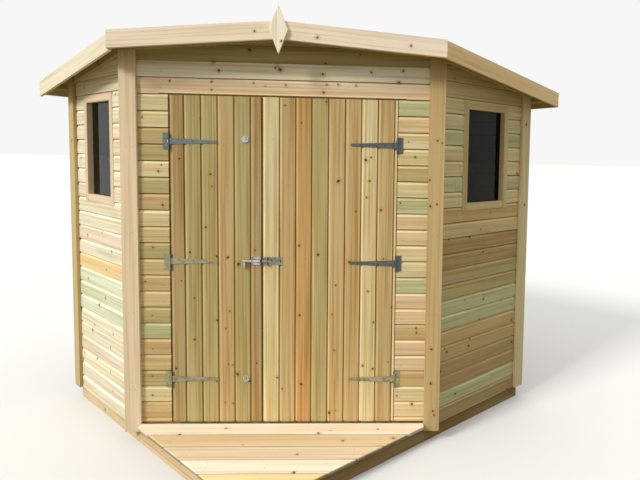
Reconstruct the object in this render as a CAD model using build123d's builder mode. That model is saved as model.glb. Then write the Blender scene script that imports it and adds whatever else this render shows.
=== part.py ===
"""Corner summerhouse in treated softwood, built on a square plan whose front corner is cut off by the doors.

All sizes are millimetres. +Z is up, the double doors face -Y, and the origin lies on the ground at the
centre of the square plan. Heights named "above the deck" count from the top of the deck and floor boards.
"""
from build123d import *
from math import sqrt
import os

# Plan of the walls, to the outer faces of the cladding
square_side = 2119.0            # length of the two back walls
short_wall = 933.0              # the two windowed side walls, up to the line of the front cladding
front_width = 1775.0            # the front wall stands in front of the side walls' ends
cladding_thickness = 12.0
stud_depth = 28.0
stud_width = 45.0

# Base, floor and deck
rail_width = 45.0
rail_height = 95.0
floor_thickness = 19.0
floor_inset = 20.0              # floor edge behind the outer face of the cladding
deck_overhang = 12.0            # deck edge in front of the outer face of the side cladding
rail_inset = 18.0               # base rails behind the outer face of the cladding
joist_bays = 6
joint_gap = 0.5                 # between separate timbers that share a node
deck_board_pitch = 133.0
deck_board_gap = 3.0
deck_wall_gap = 14.0            # slot between the front wall and the first deck board
deck_board_count = 7

# Walls
cladding_lap = 31.0             # side cladding hangs this far below the deck level
front_cladding_rise = 6.0       # front cladding stops this far above the deck
plate_height = 28.0
top_plate_height = 45.0
trim_width = 90.0
trim_thickness = 20.0
trim_drop = 45.0                # feet of the front corner trims below the deck level
trim_notch = 1.0                # clearance of the base round the feet of the front corner trims

# Doorway and doors
opening_width = 1261.0
opening_centre = -5.0           # the doorway sits slightly left of the wall's middle
opening_height = 1854.0
door_clearance = 5.0            # round the edges of each door, and between the two
door_head_clearance = 6.0
door_foot_clearance = 6.0
door_board_thickness = 12.0
meeting_line = -128.5           # middle of the gap between the two doors
ledge_height = 70.0
ledge_thickness = 28.0
ledge_inset = 45.0
stop_width = 15.0
stop_setback = 18.0             # face of the stops behind the face of the wall
stop_depth = 22.0

# T-hinges
hinge_heights = (257.0, 931.0, 1597.0)
hinge_thickness = 3.0
hinge_plate_height = 90.0
hinge_plate_width = 28.0
strap_length = 252.0
strap_root = 34.0
strap_tip = 20.0
knuckle_radius = 5.5
hinge_axis_proud = 6.0          # pin axis in front of the face of the doors
pin_radius = 3.0
pin_clearance = 0.05
knuckle_gap = 0.5

# Barrel bolt on the left door, keep on the right door
bolt_height = 937.0
bolt_plate_height = 44.0
bolt_plate_thickness = 2.0
bolt_plate_left = 50.0          # from the door's edge to the far end of the bolt's plate
bolt_edge_margin = 4.0
rod_radius = 7.5
rod_clearance = 0.05
rod_axis_proud = 12.5
barrel_wall = 2.0
barrel_length = 38.0
rod_setback = 5.0               # tip of the drawn bolt behind the door's edge
rod_length = 94.0
knob_radius = 8.0
knob_length = 24.0
knob_drop = 35.0
keep_length = 24.0
keep_plate_length = 110.0
keep_clearance = 2.5
flange_thickness = 4.0          # upright flange that closes the keep's socket
flange_depth = 22.0
nose_radius = 7.5
nose_length = 22.0

# Round turn buttons near the top and bottom of the left door
button_heights = (261.0, 1615.0)
button_from_edge = 86.0
button_radius = 19.0
button_thickness = 5.0
button_knob_radius = 6.0
button_knob_length = 12.0

# Windows
window_width = 456.0
window_height = 653.0
window_head_drop = 280.0        # top of the frame under the roof rails' underside at the ridge
window_from_front = 472.0       # centre of the window from the line of the front cladding, along the wall
frame_width = 45.0
frame_proud = 3.0
pane_setback = 34.0
pane_thickness = 4.0
pane_rebate = 8.0

# Roof: two planes that fold on a ridge from the doors to the back corner
fall_run = 1000.0               # run over which the two falls are given
side_fall = 82.0                # fall to each side over that run
back_fall = 126.0               # fall to the back over that run
header_height = 297.0           # from the top of the doorway to the underside of the roof rails at the ridge
roof_shift = -2.0               # the roof sits this far to one side of the walls
front_overhang = 160.0
side_overhang = 132.0
back_overhang = 167.0
roof_rail_width = 45.0
roof_rail_depth = 40.0          # of the rails on top of the walls and behind the fascias
roof_board_thickness = 12.0
felt_thickness = 3.0
fascia_thickness = 16.0
fascia_height = 96.0
fascia_drop = 35.0              # lower edge of the fascia below the underside of the rails
left_fascia_sag = 12.0          # the left side fascia sits this much lower than the others
rafter_width = 45.0
rafter_depth = 70.0
rafter_places = (0.36, 0.68)    # along each back wall, from the side corner to the back corner
ridge_beam_width = 70.0
ridge_beam_depth = 120.0
finial_height = 250.0
finial_width = 98.0
finial_thickness = 18.0
finial_drop = 80.0              # tip of the finial below the lower edge of the fascia

# Places worked out from the sizes
half_diagonal = 1 / sqrt(2)
half_side = square_side / 2
fall_across = side_fall / fall_run
fall_back = back_fall / fall_run
ridge_underside = opening_height + header_height
window_sill = ridge_underside - window_head_drop - window_height
side_x = square_side * half_diagonal        # where a side wall's face would reach the middle line of the plan
front_half = front_width / 2
front_y = (square_side - short_wall) * half_diagonal - side_x
deck_level = rail_height + floor_thickness
wall_depth = cladding_thickness + stud_depth
storey = deck_level + 2 * ridge_underside   # higher than the roof that cuts the walls off
opening_left = opening_centre - opening_width / 2
opening_right = opening_centre + opening_width / 2
head_level = deck_level + opening_height

os.makedirs("parts", exist_ok=True)


def square_point(u, v):
    """Plan point from distances along the square's sides, u to the back right and v to the back left."""
    return ((u - v) * half_diagonal, (u + v) * half_diagonal)


def prism(outline, low, high):
    """Upright solid over a plan outline between two levels."""
    with BuildPart() as solid:
        with BuildSketch(Plane.XY.offset(low)):
            with BuildLine():
                Polyline(*outline, close=True)
            make_face()
        extrude(amount=high - low)
    return solid.part


def ring_corners(inset):
    """Corners where the walls' faces meet, anticlockwise from the front left, at an inset from outside."""
    half = half_side - inset
    cut_y = front_y + inset
    front_x = side_x - inset * sqrt(2) + cut_y
    return [(-front_x, cut_y), (front_x, cut_y), square_point(half, -half), square_point(half, half),
            square_point(-half, half)]


front_trim_places = [(-front_half, trim_width - front_half), (front_half - trim_width, front_half)]
wall_order = ("front", "right", "back_right", "back_left", "left")


def face_ends(wall, inset, front_depth):
    """Plan ends of a wall at an inset; the side walls start behind the front wall, at its depth."""
    first = wall_order.index(wall)
    corners = ring_corners(inset)
    start, end = corners[first], corners[(first + 1) % len(wall_order)]
    butt_y = front_y + front_depth
    butt_x = side_x - inset * sqrt(2) + butt_y
    if wall == "front":
        start, end = (-front_half, front_y + inset), (front_half, front_y + inset)
    elif wall == "right":
        start = (butt_x, butt_y)
    elif wall == "left":
        end = (-butt_x, butt_y)
    return Vector(*start), Vector(*end)


def wall_strip(wall, outer, inner, end_gap=0.0, front_depth=wall_depth):
    """Plan outline of one wall between two insets: mitred at the back corners, butted at the front ones."""
    outside, inside = face_ends(wall, outer, front_depth), face_ends(wall, inner, front_depth)
    outline = [outside[0], outside[1], inside[1], inside[0]]
    along = (outline[1] - outline[0]).normalized() * end_gap
    moved = [outline[0] + along, outline[1] - along, outline[2] - along, outline[3] + along]
    return [(point.X, point.Y) for point in moved]


def wall_plane(wall):
    """Plane on a wall's outer face at deck level: X along the wall seen from outside, Y up, Z outwards."""
    first = wall_order.index(wall)
    corners = ring_corners(0)
    start, end = Vector(*corners[first]), Vector(*corners[(first + 1) % len(wall_order)])
    middle = (start + end) * 0.5
    along = (end - start).normalized()
    return Plane(origin=(middle.X, middle.Y, deck_level), x_dir=along, z_dir=along.cross(Vector(0, 0, 1)))


def roof_plane(side, rise):
    """Sloping plane of one half of the roof; side is -1 for the left half and 1 for the right."""
    return Plane(origin=(roof_shift, front_y, deck_level + ridge_underside + rise),
                 x_dir=(1, 0, -side * fall_across), z_dir=(side * fall_across, fall_back, 1))


def under_roof(blank, rise):
    """Cut a solid off under both halves of the roof, at a rise over the underside of the rails."""
    with BuildPart() as cut:
        add(blank)
        for side in (-1, 1):
            split(bisect_by=roof_plane(side, rise), keep=Keep.BOTTOM)
    return cut.part


def roof_band(outline, rise, height):
    """Solid over a plan outline between two rises, so that it follows the slope of the roof."""
    blank = prism(outline, deck_level, storey)
    with BuildPart() as band:
        add(under_roof(blank, rise + height))
        add(under_roof(blank, rise), mode=Mode.SUBTRACT)
    return band.part


def on_wall(wall, left, right, low, high, depth, inset=0.0):
    """Board on a wall's face: edges along the wall and above the deck, depth outwards (negative inwards)."""
    with BuildPart() as board:
        with BuildSketch(wall_plane(wall).offset(-inset)):
            with Locations(((left + right) / 2, (low + high) / 2)):
                Rectangle(right - left, high - low)
        extrude(amount=depth)
    return board.part


# Base rails, joists, floor and deck
base_half = half_side - rail_inset
base_inner = base_half - rail_width
rail_outlines = (
    [(-base_half, -base_half), (-base_inner, -base_half), (-base_inner, base_half), (-base_half, base_half)],
    [(base_inner, -base_half), (base_half, -base_half), (base_half, base_half), (base_inner, base_half)],
    [(-base_inner + joint_gap, -base_half), (base_inner - joint_gap, -base_half),
     (base_inner - joint_gap, -base_inner), (-base_inner + joint_gap, -base_inner)],
    [(-base_inner + joint_gap, base_inner), (base_inner - joint_gap, base_inner),
     (base_inner - joint_gap, base_half), (-base_inner + joint_gap, base_half)],
)
trim_notches = [on_wall("front", left - trim_notch, right + trim_notch, -trim_drop - trim_notch, 0,
                        trim_thickness + trim_notch) for left, right in front_trim_places]
rail_solids = [prism([square_point(*corner) for corner in outline], 0, rail_height)
               for outline in rail_outlines]
with BuildPart() as base_rails:
    for rail in rail_solids:
        add(rail)
    for notch in trim_notches:
        add(notch, mode=Mode.SUBTRACT)
base_rails.part.label = "base_rails"
export_step(base_rails.part, "parts/base_rails.step")

joist_spacing = 2 * base_inner / joist_bays
square_plan = Plane(origin=(0, 0, 0), x_dir=(1, 1, 0), z_dir=(0, 0, 1))
with BuildPart() as floor_joists:
    with BuildSketch(square_plan):
        with GridLocations(0, joist_spacing, 1, joist_bays - 1):
            Rectangle(2 * (base_inner - joint_gap), rail_width)
    extrude(amount=rail_height)
floor_joists.part.label = "floor_joists"
export_step(floor_joists.part, "parts/floor_joists.step")

floor_reach = side_x - floor_inset * sqrt(2) + front_y
floor_half = half_side - floor_inset
floor_outline = [(-floor_reach, front_y), (floor_reach, front_y),
                 square_point(floor_half, -floor_half), square_point(floor_half, floor_half),
                 square_point(-floor_half, floor_half)]
with BuildPart() as floor_boards:
    with BuildSketch(Plane.XY.offset(rail_height)):
        with BuildLine():
            Polyline(*floor_outline, close=True)
        make_face()
    extrude(amount=floor_thickness)
floor_boards.part.label = "floor_boards"
export_step(floor_boards.part, "parts/floor_boards.step")

deck_corner = side_x + deck_overhang * sqrt(2)
deck_solids = []
for index in range(deck_board_count):
    back = front_y - deck_wall_gap - index * deck_board_pitch
    front = max(back - deck_board_pitch + deck_board_gap, -deck_corner)
    outline = [(-(deck_corner + back), back), (-(deck_corner + front), front),
               (deck_corner + front, front), (deck_corner + back, back)]
    if front <= -deck_corner:
        outline = [outline[0], (0, -deck_corner), outline[3]]
    deck_solids.append(prism(outline, rail_height, deck_level))
with BuildPart() as deck_boards:
    for board in deck_solids:
        add(board)
    for notch in trim_notches:
        add(notch, mode=Mode.SUBTRACT)
deck_boards.part.label = "deck_boards"
export_step(deck_boards.part, "parts/deck_boards.step")

# Cladding of the walls
side_low = deck_level - cladding_lap
board_rise = roof_rail_depth
with BuildPart() as front_wall_left:
    add(on_wall("front", -front_half, opening_left, front_cladding_rise, opening_height, -cladding_thickness))
front_wall_left.part.label = "front_wall_left"
export_step(front_wall_left.part, "parts/front_wall_left.step")

with BuildPart() as front_wall_right:
    add(on_wall("front", opening_right, front_half, front_cladding_rise, opening_height, -cladding_thickness))
front_wall_right.part.label = "front_wall_right"
export_step(front_wall_right.part, "parts/front_wall_right.step")

front_blank = prism(wall_strip("front", 0, cladding_thickness), head_level, storey)
with BuildPart() as front_wall_top:
    add(under_roof(front_blank, 0))
front_wall_top.part.label = "front_wall_top"
export_step(front_wall_top.part, "parts/front_wall_top.step")

for wall, side in (("left", -1), ("right", 1)):
    window_centre = -side * (short_wall / 2 - window_from_front)
    hole = on_wall(wall, window_centre - window_width / 2, window_centre + window_width / 2,
                   window_sill, window_sill + window_height, -wall_depth)
    blank = under_roof(prism(wall_strip(wall, 0, cladding_thickness), side_low, storey), 0)
    with BuildPart() as side_cladding:
        add(blank)
        add(hole, mode=Mode.SUBTRACT)
    side_cladding.part.label = f"{wall}_wall"
    export_step(side_cladding.part, f"parts/{wall}_wall.step")

    with BuildPart() as window_frame:
        with BuildSketch(wall_plane(wall).offset(frame_proud)):
            with Locations((window_centre, window_sill + window_height / 2)):
                Rectangle(window_width, window_height)
                Rectangle(window_width - 2 * frame_width, window_height - 2 * frame_width, mode=Mode.SUBTRACT)
        extrude(amount=-(wall_depth + frame_proud))
        with BuildSketch(wall_plane(wall).offset(frame_proud - pane_setback)):
            with Locations((window_centre, window_sill + window_height / 2)):
                Rectangle(window_width - 2 * (frame_width - pane_rebate),
                          window_height - 2 * (frame_width - pane_rebate))
        extrude(amount=-pane_thickness, mode=Mode.SUBTRACT)
    window_frame.part.label = f"{wall}_window_frame"
    export_step(window_frame.part, f"parts/{wall}_window_frame.step")

    with BuildPart() as window_glass:
        with BuildSketch(wall_plane(wall).offset(frame_proud - pane_setback)):
            with Locations((window_centre, window_sill + window_height / 2)):
                Rectangle(window_width - 2 * (frame_width - pane_rebate),
                          window_height - 2 * (frame_width - pane_rebate))
        extrude(amount=-pane_thickness)
    window_glass.part.label = f"{wall}_window_glass"
    export_step(window_glass.part, f"parts/{wall}_window_glass.step")

for wall in ("back_left", "back_right"):
    blank = prism(wall_strip(wall, 0, cladding_thickness), side_low, storey)
    with BuildPart() as back_cladding:
        add(under_roof(blank, 0))
    back_cladding.part.label = f"{wall}_wall"
    export_step(back_cladding.part, f"parts/{wall}_wall.step")

# Framing inside the cladding: plates under the roof and on the floor, rails at the windows, studs between
with BuildPart() as top_plates:
    for wall in wall_order:
        add(roof_band(wall_strip(wall, cladding_thickness, wall_depth, joint_gap), -top_plate_height,
                      top_plate_height))
top_plates.part.label = "top_plates"
export_step(top_plates.part, "parts/top_plates.step")

plate_top = plate_height
with BuildPart() as wall_rails:
    for wall in wall_order[1:]:
        strip = wall_strip(wall, cladding_thickness, wall_depth, joint_gap)
        add(prism(strip, deck_level, deck_level + plate_height))
    strip = wall_strip("front", cladding_thickness, wall_depth, joint_gap)
    add(prism([strip[0], (opening_left, strip[0][1]), (opening_left, strip[3][1]), strip[3]],
              deck_level, deck_level + plate_height))
    add(prism([(opening_right, strip[1][1]), strip[1], strip[2], (opening_right, strip[2][1])],
              deck_level, deck_level + plate_height))
    add(on_wall("front", opening_left, opening_right, opening_height, opening_height + stud_width,
                -stud_depth, cladding_thickness))
    for wall, side in (("left", -1), ("right", 1)):
        centre = -side * (short_wall / 2 - window_from_front)
        for low in (window_sill - stud_width, window_sill + window_height):
            add(on_wall(wall, centre - window_width / 2, centre + window_width / 2, low, low + stud_width,
                        -stud_depth, cladding_thickness))
wall_rails.part.label = "wall_rails"
export_step(wall_rails.part, "parts/wall_rails.step")


def stud(wall, centre):
    """Upright of the wall frame from the bottom plate to the top plate."""
    blank = on_wall(wall, centre - stud_width / 2, centre + stud_width / 2, plate_top, storey - deck_level,
                    -stud_depth, cladding_thickness)
    return under_roof(blank, -top_plate_height)


stud_margin = wall_depth + stud_width / 2 + joint_gap
butt_margin = wall_depth * sqrt(2) - cladding_thickness + stud_width / 2 + joint_gap
side_half = short_wall / 2
stud_solids = []
for place in ((stud_width - front_width) / 2, opening_left - stud_width / 2, opening_right + stud_width / 2,
              (front_width - stud_width) / 2):
    stud_solids.append(stud("front", place))
for wall, side in (("left", -1), ("right", 1)):
    centre = -side * (side_half - window_from_front)
    for place in (side * (butt_margin - side_half), side * (side_half - stud_margin),
                  centre - (window_width + stud_width) / 2, centre + (window_width + stud_width) / 2):
        stud_solids.append(stud(wall, place))
for wall in ("back_left", "back_right"):
    reach = half_side - stud_margin
    for place in (-reach, -reach / 2, 0, reach / 2, reach):
        stud_solids.append(stud(wall, place))
with BuildPart() as wall_studs:
    for solid in stud_solids:
        add(solid)
wall_studs.part.label = "wall_studs"
export_step(wall_studs.part, "parts/wall_studs.step")

# Corner trims, each pair round the outside of a corner
back_reach = half_side
trim_pairs = {
    "front_trims": [("front", left, right, -trim_drop) for left, right in front_trim_places],
    "left_corner_trims": [("left", -side_half, -side_half + trim_width, -cladding_lap),
                          ("back_left", back_reach - trim_width, back_reach - joint_gap, -cladding_lap)],
    "right_corner_trims": [("right", side_half - trim_width, side_half, -cladding_lap),
                           ("back_right", -back_reach + joint_gap, -back_reach + trim_width, -cladding_lap)],
    "back_corner_trims": [("back_left", -back_reach, -back_reach + trim_width, -cladding_lap),
                          ("back_right", back_reach - trim_width, back_reach - joint_gap, -cladding_lap)],
}
for name, places in trim_pairs.items():
    trim_solids = [under_roof(on_wall(wall, left, right, low, storey - deck_level, trim_thickness), 0)
                   for wall, left, right, low in places]
    with BuildPart() as trims:
        for solid in trim_solids:
            add(solid)
    trims.part.label = name
    export_step(trims.part, f"parts/{name}.step")

# Door stops round the inside of the doorway
with BuildPart() as door_stops:
    for left, right, low, high in (
        (opening_left, opening_left + stop_width, joint_gap, opening_height - stop_width - joint_gap),
        (opening_right - stop_width, opening_right, joint_gap, opening_height - stop_width - joint_gap),
        (opening_left, opening_right, opening_height - stop_width, opening_height),
    ):
        add(on_wall("front", left, right, low, high, -stop_depth, stop_setback))
door_stops.part.label = "door_stops"
export_step(door_stops.part, "parts/door_stops.step")

# Doors: boards with three ledges behind each
door_low = door_foot_clearance
door_high = opening_height - door_head_clearance
left_door_edges = (opening_left + door_clearance, meeting_line - door_clearance / 2)
right_door_edges = (meeting_line + door_clearance / 2, opening_right - door_clearance)
for name, (left, right) in (("left_door", left_door_edges), ("right_door", right_door_edges)):
    with BuildPart() as door_boards:
        add(on_wall("front", left, right, door_low, door_high, -door_board_thickness))
    door_boards.part.label = f"{name}_boards"
    export_step(door_boards.part, f"parts/{name}_boards.step")
    with BuildPart() as door_ledges:
        for height in hinge_heights:
            add(on_wall("front", left + ledge_inset, right - ledge_inset, height - ledge_height / 2,
                        height + ledge_height / 2, -ledge_thickness, door_board_thickness))
    door_ledges.part.label = f"{name}_ledges"
    export_step(door_ledges.part, f"parts/{name}_ledges.step")

# T-hinges: wall plates with the pins, and straps on the doors
axis_left = opening_left + door_clearance / 2
axis_right = opening_right - door_clearance / 2
axis_y = front_y - hinge_axis_proud


def knuckle(axis_x, low, high, radius):
    """Round barrel on a hinge axis between two heights above the deck."""
    with BuildPart() as barrel:
        with BuildSketch(Plane(origin=(axis_x, axis_y, deck_level + low))):
            Circle(radius)
        extrude(amount=high - low)
    return barrel.part


def hinge_plate(axis_x, side, height):
    """Wall plate with two knuckles and the pin; side is -1 on the left doorpost and 1 on the right."""
    low, high = height - hinge_plate_height / 2, height + hinge_plate_height / 2
    notch = strap_root / 2 + knuckle_gap
    edge_left, edge_right = sorted((axis_x, axis_x + side * (hinge_plate_width + door_clearance / 2)))
    notch_left, notch_right = sorted((axis_x - side * knuckle_gap, axis_x + side * (knuckle_radius + 1)))
    flat = on_wall("front", edge_left, edge_right, low, high, hinge_thickness)
    notch_cut = on_wall("front", notch_left, notch_right, height - notch, height + notch, hinge_thickness)
    with BuildPart() as plate:
        add(flat)
        add(notch_cut, mode=Mode.SUBTRACT)
        add(knuckle(axis_x, low, height - notch, knuckle_radius))
        add(knuckle(axis_x, height + notch, high, knuckle_radius))
        add(knuckle(axis_x, low, high, pin_radius))
    return plate.part


def hinge_strap(axis_x, side, height):
    """Tapered strap with its knuckle; side is 1 where it runs to the right, on the left door, else -1."""
    tip = axis_x + side * strap_length
    with BuildPart() as strap:
        with BuildSketch(wall_plane("front")):
            with BuildLine():
                Polyline((axis_x, height - strap_root / 2), (tip, height - strap_tip / 2),
                         (tip, height + strap_tip / 2), (axis_x, height + strap_root / 2), close=True)
            make_face()
            with Locations((tip, height)):
                Circle(strap_tip / 2)
        extrude(amount=hinge_thickness)
        add(knuckle(axis_x, height - strap_root / 2, height + strap_root / 2, knuckle_radius))
        add(knuckle(axis_x, height - strap_root / 2, height + strap_root / 2, pin_radius + pin_clearance),
            mode=Mode.SUBTRACT)
    return strap.part


plate_solids = [hinge_plate(x, side, height) for x, side in ((axis_left, -1), (axis_right, 1))
                for height in hinge_heights]
with BuildPart() as hinge_plates:
    for solid in plate_solids:
        add(solid)
hinge_plates.part.label = "hinge_plates"
export_step(hinge_plates.part, "parts/hinge_plates.step")

for name, axis_x, side in (("left_hinge_straps", axis_left, 1), ("right_hinge_straps", axis_right, -1)):
    strap_solids = [hinge_strap(axis_x, side, height) for height in hinge_heights]
    with BuildPart() as hinge_straps:
        for solid in strap_solids:
            add(solid)
    hinge_straps.part.label = name
    export_step(hinge_straps.part, f"parts/{name}.step")

# Barrel bolt and its keep
bolt_edge = left_door_edges[1]
keep_edge = right_door_edges[0]
rod_y = front_y - rod_axis_proud


def across_bolt(x):
    """Plane across the bolt's axis at a place along it, facing right."""
    return Plane(origin=(x, rod_y, deck_level + bolt_height), x_dir=(0, 1, 0), z_dir=(1, 0, 0))


def bolt_tube(left, right, outer, inner):
    """Half-round housing of the bolt, flat on the door, with a round bore for the rod."""
    with BuildPart() as tube:
        with BuildSketch(across_bolt(left)):
            Circle(outer)
            with Locations((rod_axis_proud / 2, 0)):
                Rectangle(rod_axis_proud, 2 * outer)
            Circle(inner, mode=Mode.SUBTRACT)
        extrude(amount=right - left)
    return tube.part


barrel_bore = rod_radius + rod_clearance
barrel_right = bolt_edge - bolt_edge_margin
barrel_left = barrel_right - barrel_length
barrel_tube = bolt_tube(barrel_left, barrel_right, barrel_bore + barrel_wall, barrel_bore)
plate_low, plate_high = bolt_height - bolt_plate_height / 2, bolt_height + bolt_plate_height / 2
barrel_plate = on_wall("front", barrel_right - bolt_plate_left, barrel_right, plate_low, plate_high,
                       bolt_plate_thickness)
with BuildPart() as bolt_barrel:
    add(barrel_tube)
    add(barrel_plate)
bolt_barrel.part.label = "bolt_barrel"
export_step(bolt_barrel.part, "parts/bolt_barrel.step")

rod_right = bolt_edge - rod_setback
rod_left = rod_right - rod_length
with BuildPart() as bolt_rod:
    with BuildSketch(across_bolt(rod_left)):
        Circle(rod_radius)
    extrude(amount=rod_length)
    with BuildSketch(across_bolt(rod_left)):
        Circle(knob_radius)
    extrude(amount=knob_length)
    with BuildSketch(Plane(origin=(rod_left + knob_radius, rod_y, deck_level + bolt_height), x_dir=(1, 0, 0),
                           z_dir=(0, 0, -1))):
        Circle(knob_radius)
    extrude(amount=knob_drop)
bolt_rod.part.label = "bolt_rod"
export_step(bolt_rod.part, "parts/bolt_rod.step")

keep_left = keep_edge + bolt_edge_margin
keep_bore = rod_radius + keep_clearance
keep_tube = bolt_tube(keep_left, keep_left + keep_length, keep_bore + barrel_wall, keep_bore)
keep_plate = on_wall("front", keep_left, keep_left + keep_plate_length, plate_low, plate_high,
                     bolt_plate_thickness)
flange_left = keep_left + keep_length
flange_right = flange_left + flange_thickness
keep_flange = on_wall("front", flange_left, flange_right, plate_low, plate_high, flange_depth)
with BuildPart() as bolt_keep:
    add(keep_tube)
    add(keep_plate)
    add(keep_flange)
    with BuildSketch(across_bolt(flange_right)):
        Circle(nose_radius)
    extrude(amount=nose_length)
bolt_keep.part.label = "bolt_keep"
export_step(bolt_keep.part, "parts/bolt_keep.step")

# Turn buttons on the left door
button_x = left_door_edges[1] - button_from_edge
with BuildPart() as door_buttons:
    with BuildSketch(wall_plane("front")):
        with Locations(*[(button_x, height) for height in button_heights]):
            Circle(button_radius)
    extrude(amount=button_thickness)
    with BuildSketch(wall_plane("front")):
        with Locations(*[(button_x, height) for height in button_heights]):
            Circle(button_knob_radius)
    extrude(amount=button_thickness + button_knob_length)
door_buttons.part.label = "door_buttons"
export_step(door_buttons.part, "parts/door_buttons.step")


# Roof
def roof_corners(front, side, back):
    """Plan corners of the roof's right half at given overhangs: front middle, front, far side and back."""
    front_line = front_y - front
    side_line = side_x + side * sqrt(2)
    reach = half_side + back
    flank = half_side + side
    far = square_point(reach, -flank)
    rear = square_point(reach, reach)
    return [(0, front_line), (side_line + front_line, front_line), far, rear]


def to_side(side, outline):
    """Mirror a right-hand roof outline to its side and shift it with the roof."""
    return [(roof_shift + side * x, y) for x, y in outline]


panel = roof_corners(front_overhang - fascia_thickness, side_overhang - fascia_thickness,
                     back_overhang - fascia_thickness)
names = {-1: "left", 1: "right"}
for side, name in names.items():
    with BuildPart() as roof_panel:
        add(roof_band(to_side(side, panel), board_rise, roof_board_thickness))
    roof_panel.part.label = f"roof_panel_{name}"
    export_step(roof_panel.part, f"parts/roof_panel_{name}.step")

with BuildPart() as roof_felt:
    for side in names:
        outline = [(joint_gap, panel[0][1]), panel[1], panel[2], (joint_gap, panel[3][1] - joint_gap)]
        add(roof_band(to_side(side, outline), board_rise + roof_board_thickness, felt_thickness))
roof_felt.part.label = "roof_felt"
export_step(roof_felt.part, "parts/roof_felt.step")

wall_rail_inset = roof_rail_width - trim_thickness
inner = roof_corners(front_overhang - fascia_thickness - roof_rail_width,
                     side_overhang - fascia_thickness - roof_rail_width,
                     back_overhang - fascia_thickness - roof_rail_width)
with BuildPart() as roof_rails:
    for wall in wall_order:
        strip = wall_strip(wall, -trim_thickness, wall_rail_inset, joint_gap, front_depth=wall_rail_inset)
        add(roof_band(strip, 0, roof_rail_depth))
    for side in names:
        for first in range(3):
            start, end = Vector(*panel[first]), Vector(*panel[first + 1])
            inner_start, inner_end = Vector(*inner[first]), Vector(*inner[first + 1])
            step = (end - start).normalized() * joint_gap
            outline = [start + step, end - step, inner_end - step, inner_start + step]
            add(roof_band(to_side(side, [(point.X, point.Y) for point in outline]), 0, roof_rail_depth))
roof_rails.part.label = "roof_rails"
export_step(roof_rails.part, "parts/roof_rails.step")

# Ridge beam and rafters inside the walls
inside = ring_corners(wall_depth)
beam_left, beam_right = roof_shift - ridge_beam_width / 2, roof_shift + ridge_beam_width / 2
beam_blank = under_roof(prism(inside, deck_level, storey), board_rise)
beam_strip = prism([(beam_left, -half_side), (beam_right, -half_side), (beam_right, square_side),
                    (beam_left, square_side)], deck_level, storey)
beam_low = Plane(origin=(roof_shift, front_y, deck_level + ridge_underside + board_rise - ridge_beam_depth),
                 x_dir=(1, 0, 0), z_dir=(0, fall_back, 1))
with BuildPart() as ridge_beam:
    add(beam_blank)
    add(beam_strip, mode=Mode.INTERSECT)
    split(bisect_by=beam_low, keep=Keep.TOP)
ridge_beam.part.label = "ridge_beam"
export_step(ridge_beam.part, "parts/ridge_beam.step")


def rafter(side, share):
    """Rafter square to a back wall, from the wall's inner face to the ridge beam."""
    beam_face = roof_shift + side * (ridge_beam_width / 2 + joint_gap)
    centre = (2 * share - 1) * (half_side - wall_depth)
    ends = [square_point(half_side - wall_depth, centre + edge)
            for edge in (-rafter_width / 2, rafter_width / 2)]
    ends = [(side * x, y) for x, y in ends]
    feet = [(beam_face, y - abs(x - beam_face)) for x, y in ends]
    return roof_band([feet[0], ends[0], ends[1], feet[1]], board_rise - rafter_depth, rafter_depth)


rafter_solids = [rafter(side, share) for side in names for share in rafter_places]
with BuildPart() as rafters:
    for solid in rafter_solids:
        add(solid)
rafters.part.label = "rafters"
export_step(rafters.part, "parts/rafters.step")

# Fascias and finial
outer = roof_corners(front_overhang, side_overhang, back_overhang)
front_back_line = panel[0][1]
side_front_outer = outer[1][0] + fascia_thickness
side_front_inner = panel[1][0]
front_fascia = [(joint_gap / 2, outer[0][1]), (side_front_outer, outer[0][1]),
                (side_front_outer, front_back_line), (joint_gap / 2, front_back_line)]
side_fascia = [(side_front_inner, front_back_line), (side_front_outer, front_back_line), outer[2],
               square_point(half_side + back_overhang, -(half_side + side_overhang - fascia_thickness))]
with BuildPart() as front_fascias:
    for side in names:
        add(roof_band(to_side(side, front_fascia), -fascia_drop, fascia_height))
front_fascias.part.label = "front_fascias"
export_step(front_fascias.part, "parts/front_fascias.step")

with BuildPart() as side_fascias:
    for side, sag in ((-1, left_fascia_sag), (1, 0)):
        add(roof_band(to_side(side, side_fascia), -fascia_drop - sag, fascia_height))
side_fascias.part.label = "side_fascias"
export_step(side_fascias.part, "parts/side_fascias.step")

with BuildPart() as back_fascias:
    for side in names:
        reach = half_side + back_overhang
        flank = half_side + side_overhang - fascia_thickness - joint_gap
        back_fascia = [square_point(reach - fascia_thickness, -flank), square_point(reach, -flank),
                       (joint_gap / 2, outer[3][1] - joint_gap / 2),
                       (joint_gap / 2, panel[3][1] - joint_gap / 2)]
        add(roof_band(to_side(side, back_fascia), -fascia_drop, fascia_height))
back_fascias.part.label = "back_fascias"
export_step(back_fascias.part, "parts/back_fascias.step")

finial_base = deck_level + ridge_underside - fascia_drop + fall_back * front_overhang - finial_drop
with BuildPart() as finial:
    with BuildSketch(Plane(origin=(roof_shift, front_y - front_overhang, finial_base), x_dir=(1, 0, 0),
                           z_dir=(0, -1, 0))):
        with BuildLine():
            Polyline((0, 0), (finial_width / 2, finial_height / 2), (0, finial_height),
                     (-finial_width / 2, finial_height / 2), close=True)
        make_face()
    extrude(amount=finial_thickness)
finial.part.label = "finial"
export_step(finial.part, "parts/finial.step")
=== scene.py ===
"""Corner summerhouse in treated softwood: boards, ironwork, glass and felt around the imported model.

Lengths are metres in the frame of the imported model: +Z up, the double doors face -Y, and the origin lies on
the ground at the centre of the square plan.
"""
from __future__ import annotations

import logging
import math
import random
from dataclasses import dataclass, field
from enum import Enum
from typing import Iterable, Sequence

import bmesh
import bpy
from mathutils import Matrix, Vector
from mathutils.bvhtree import BVHTree

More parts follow.
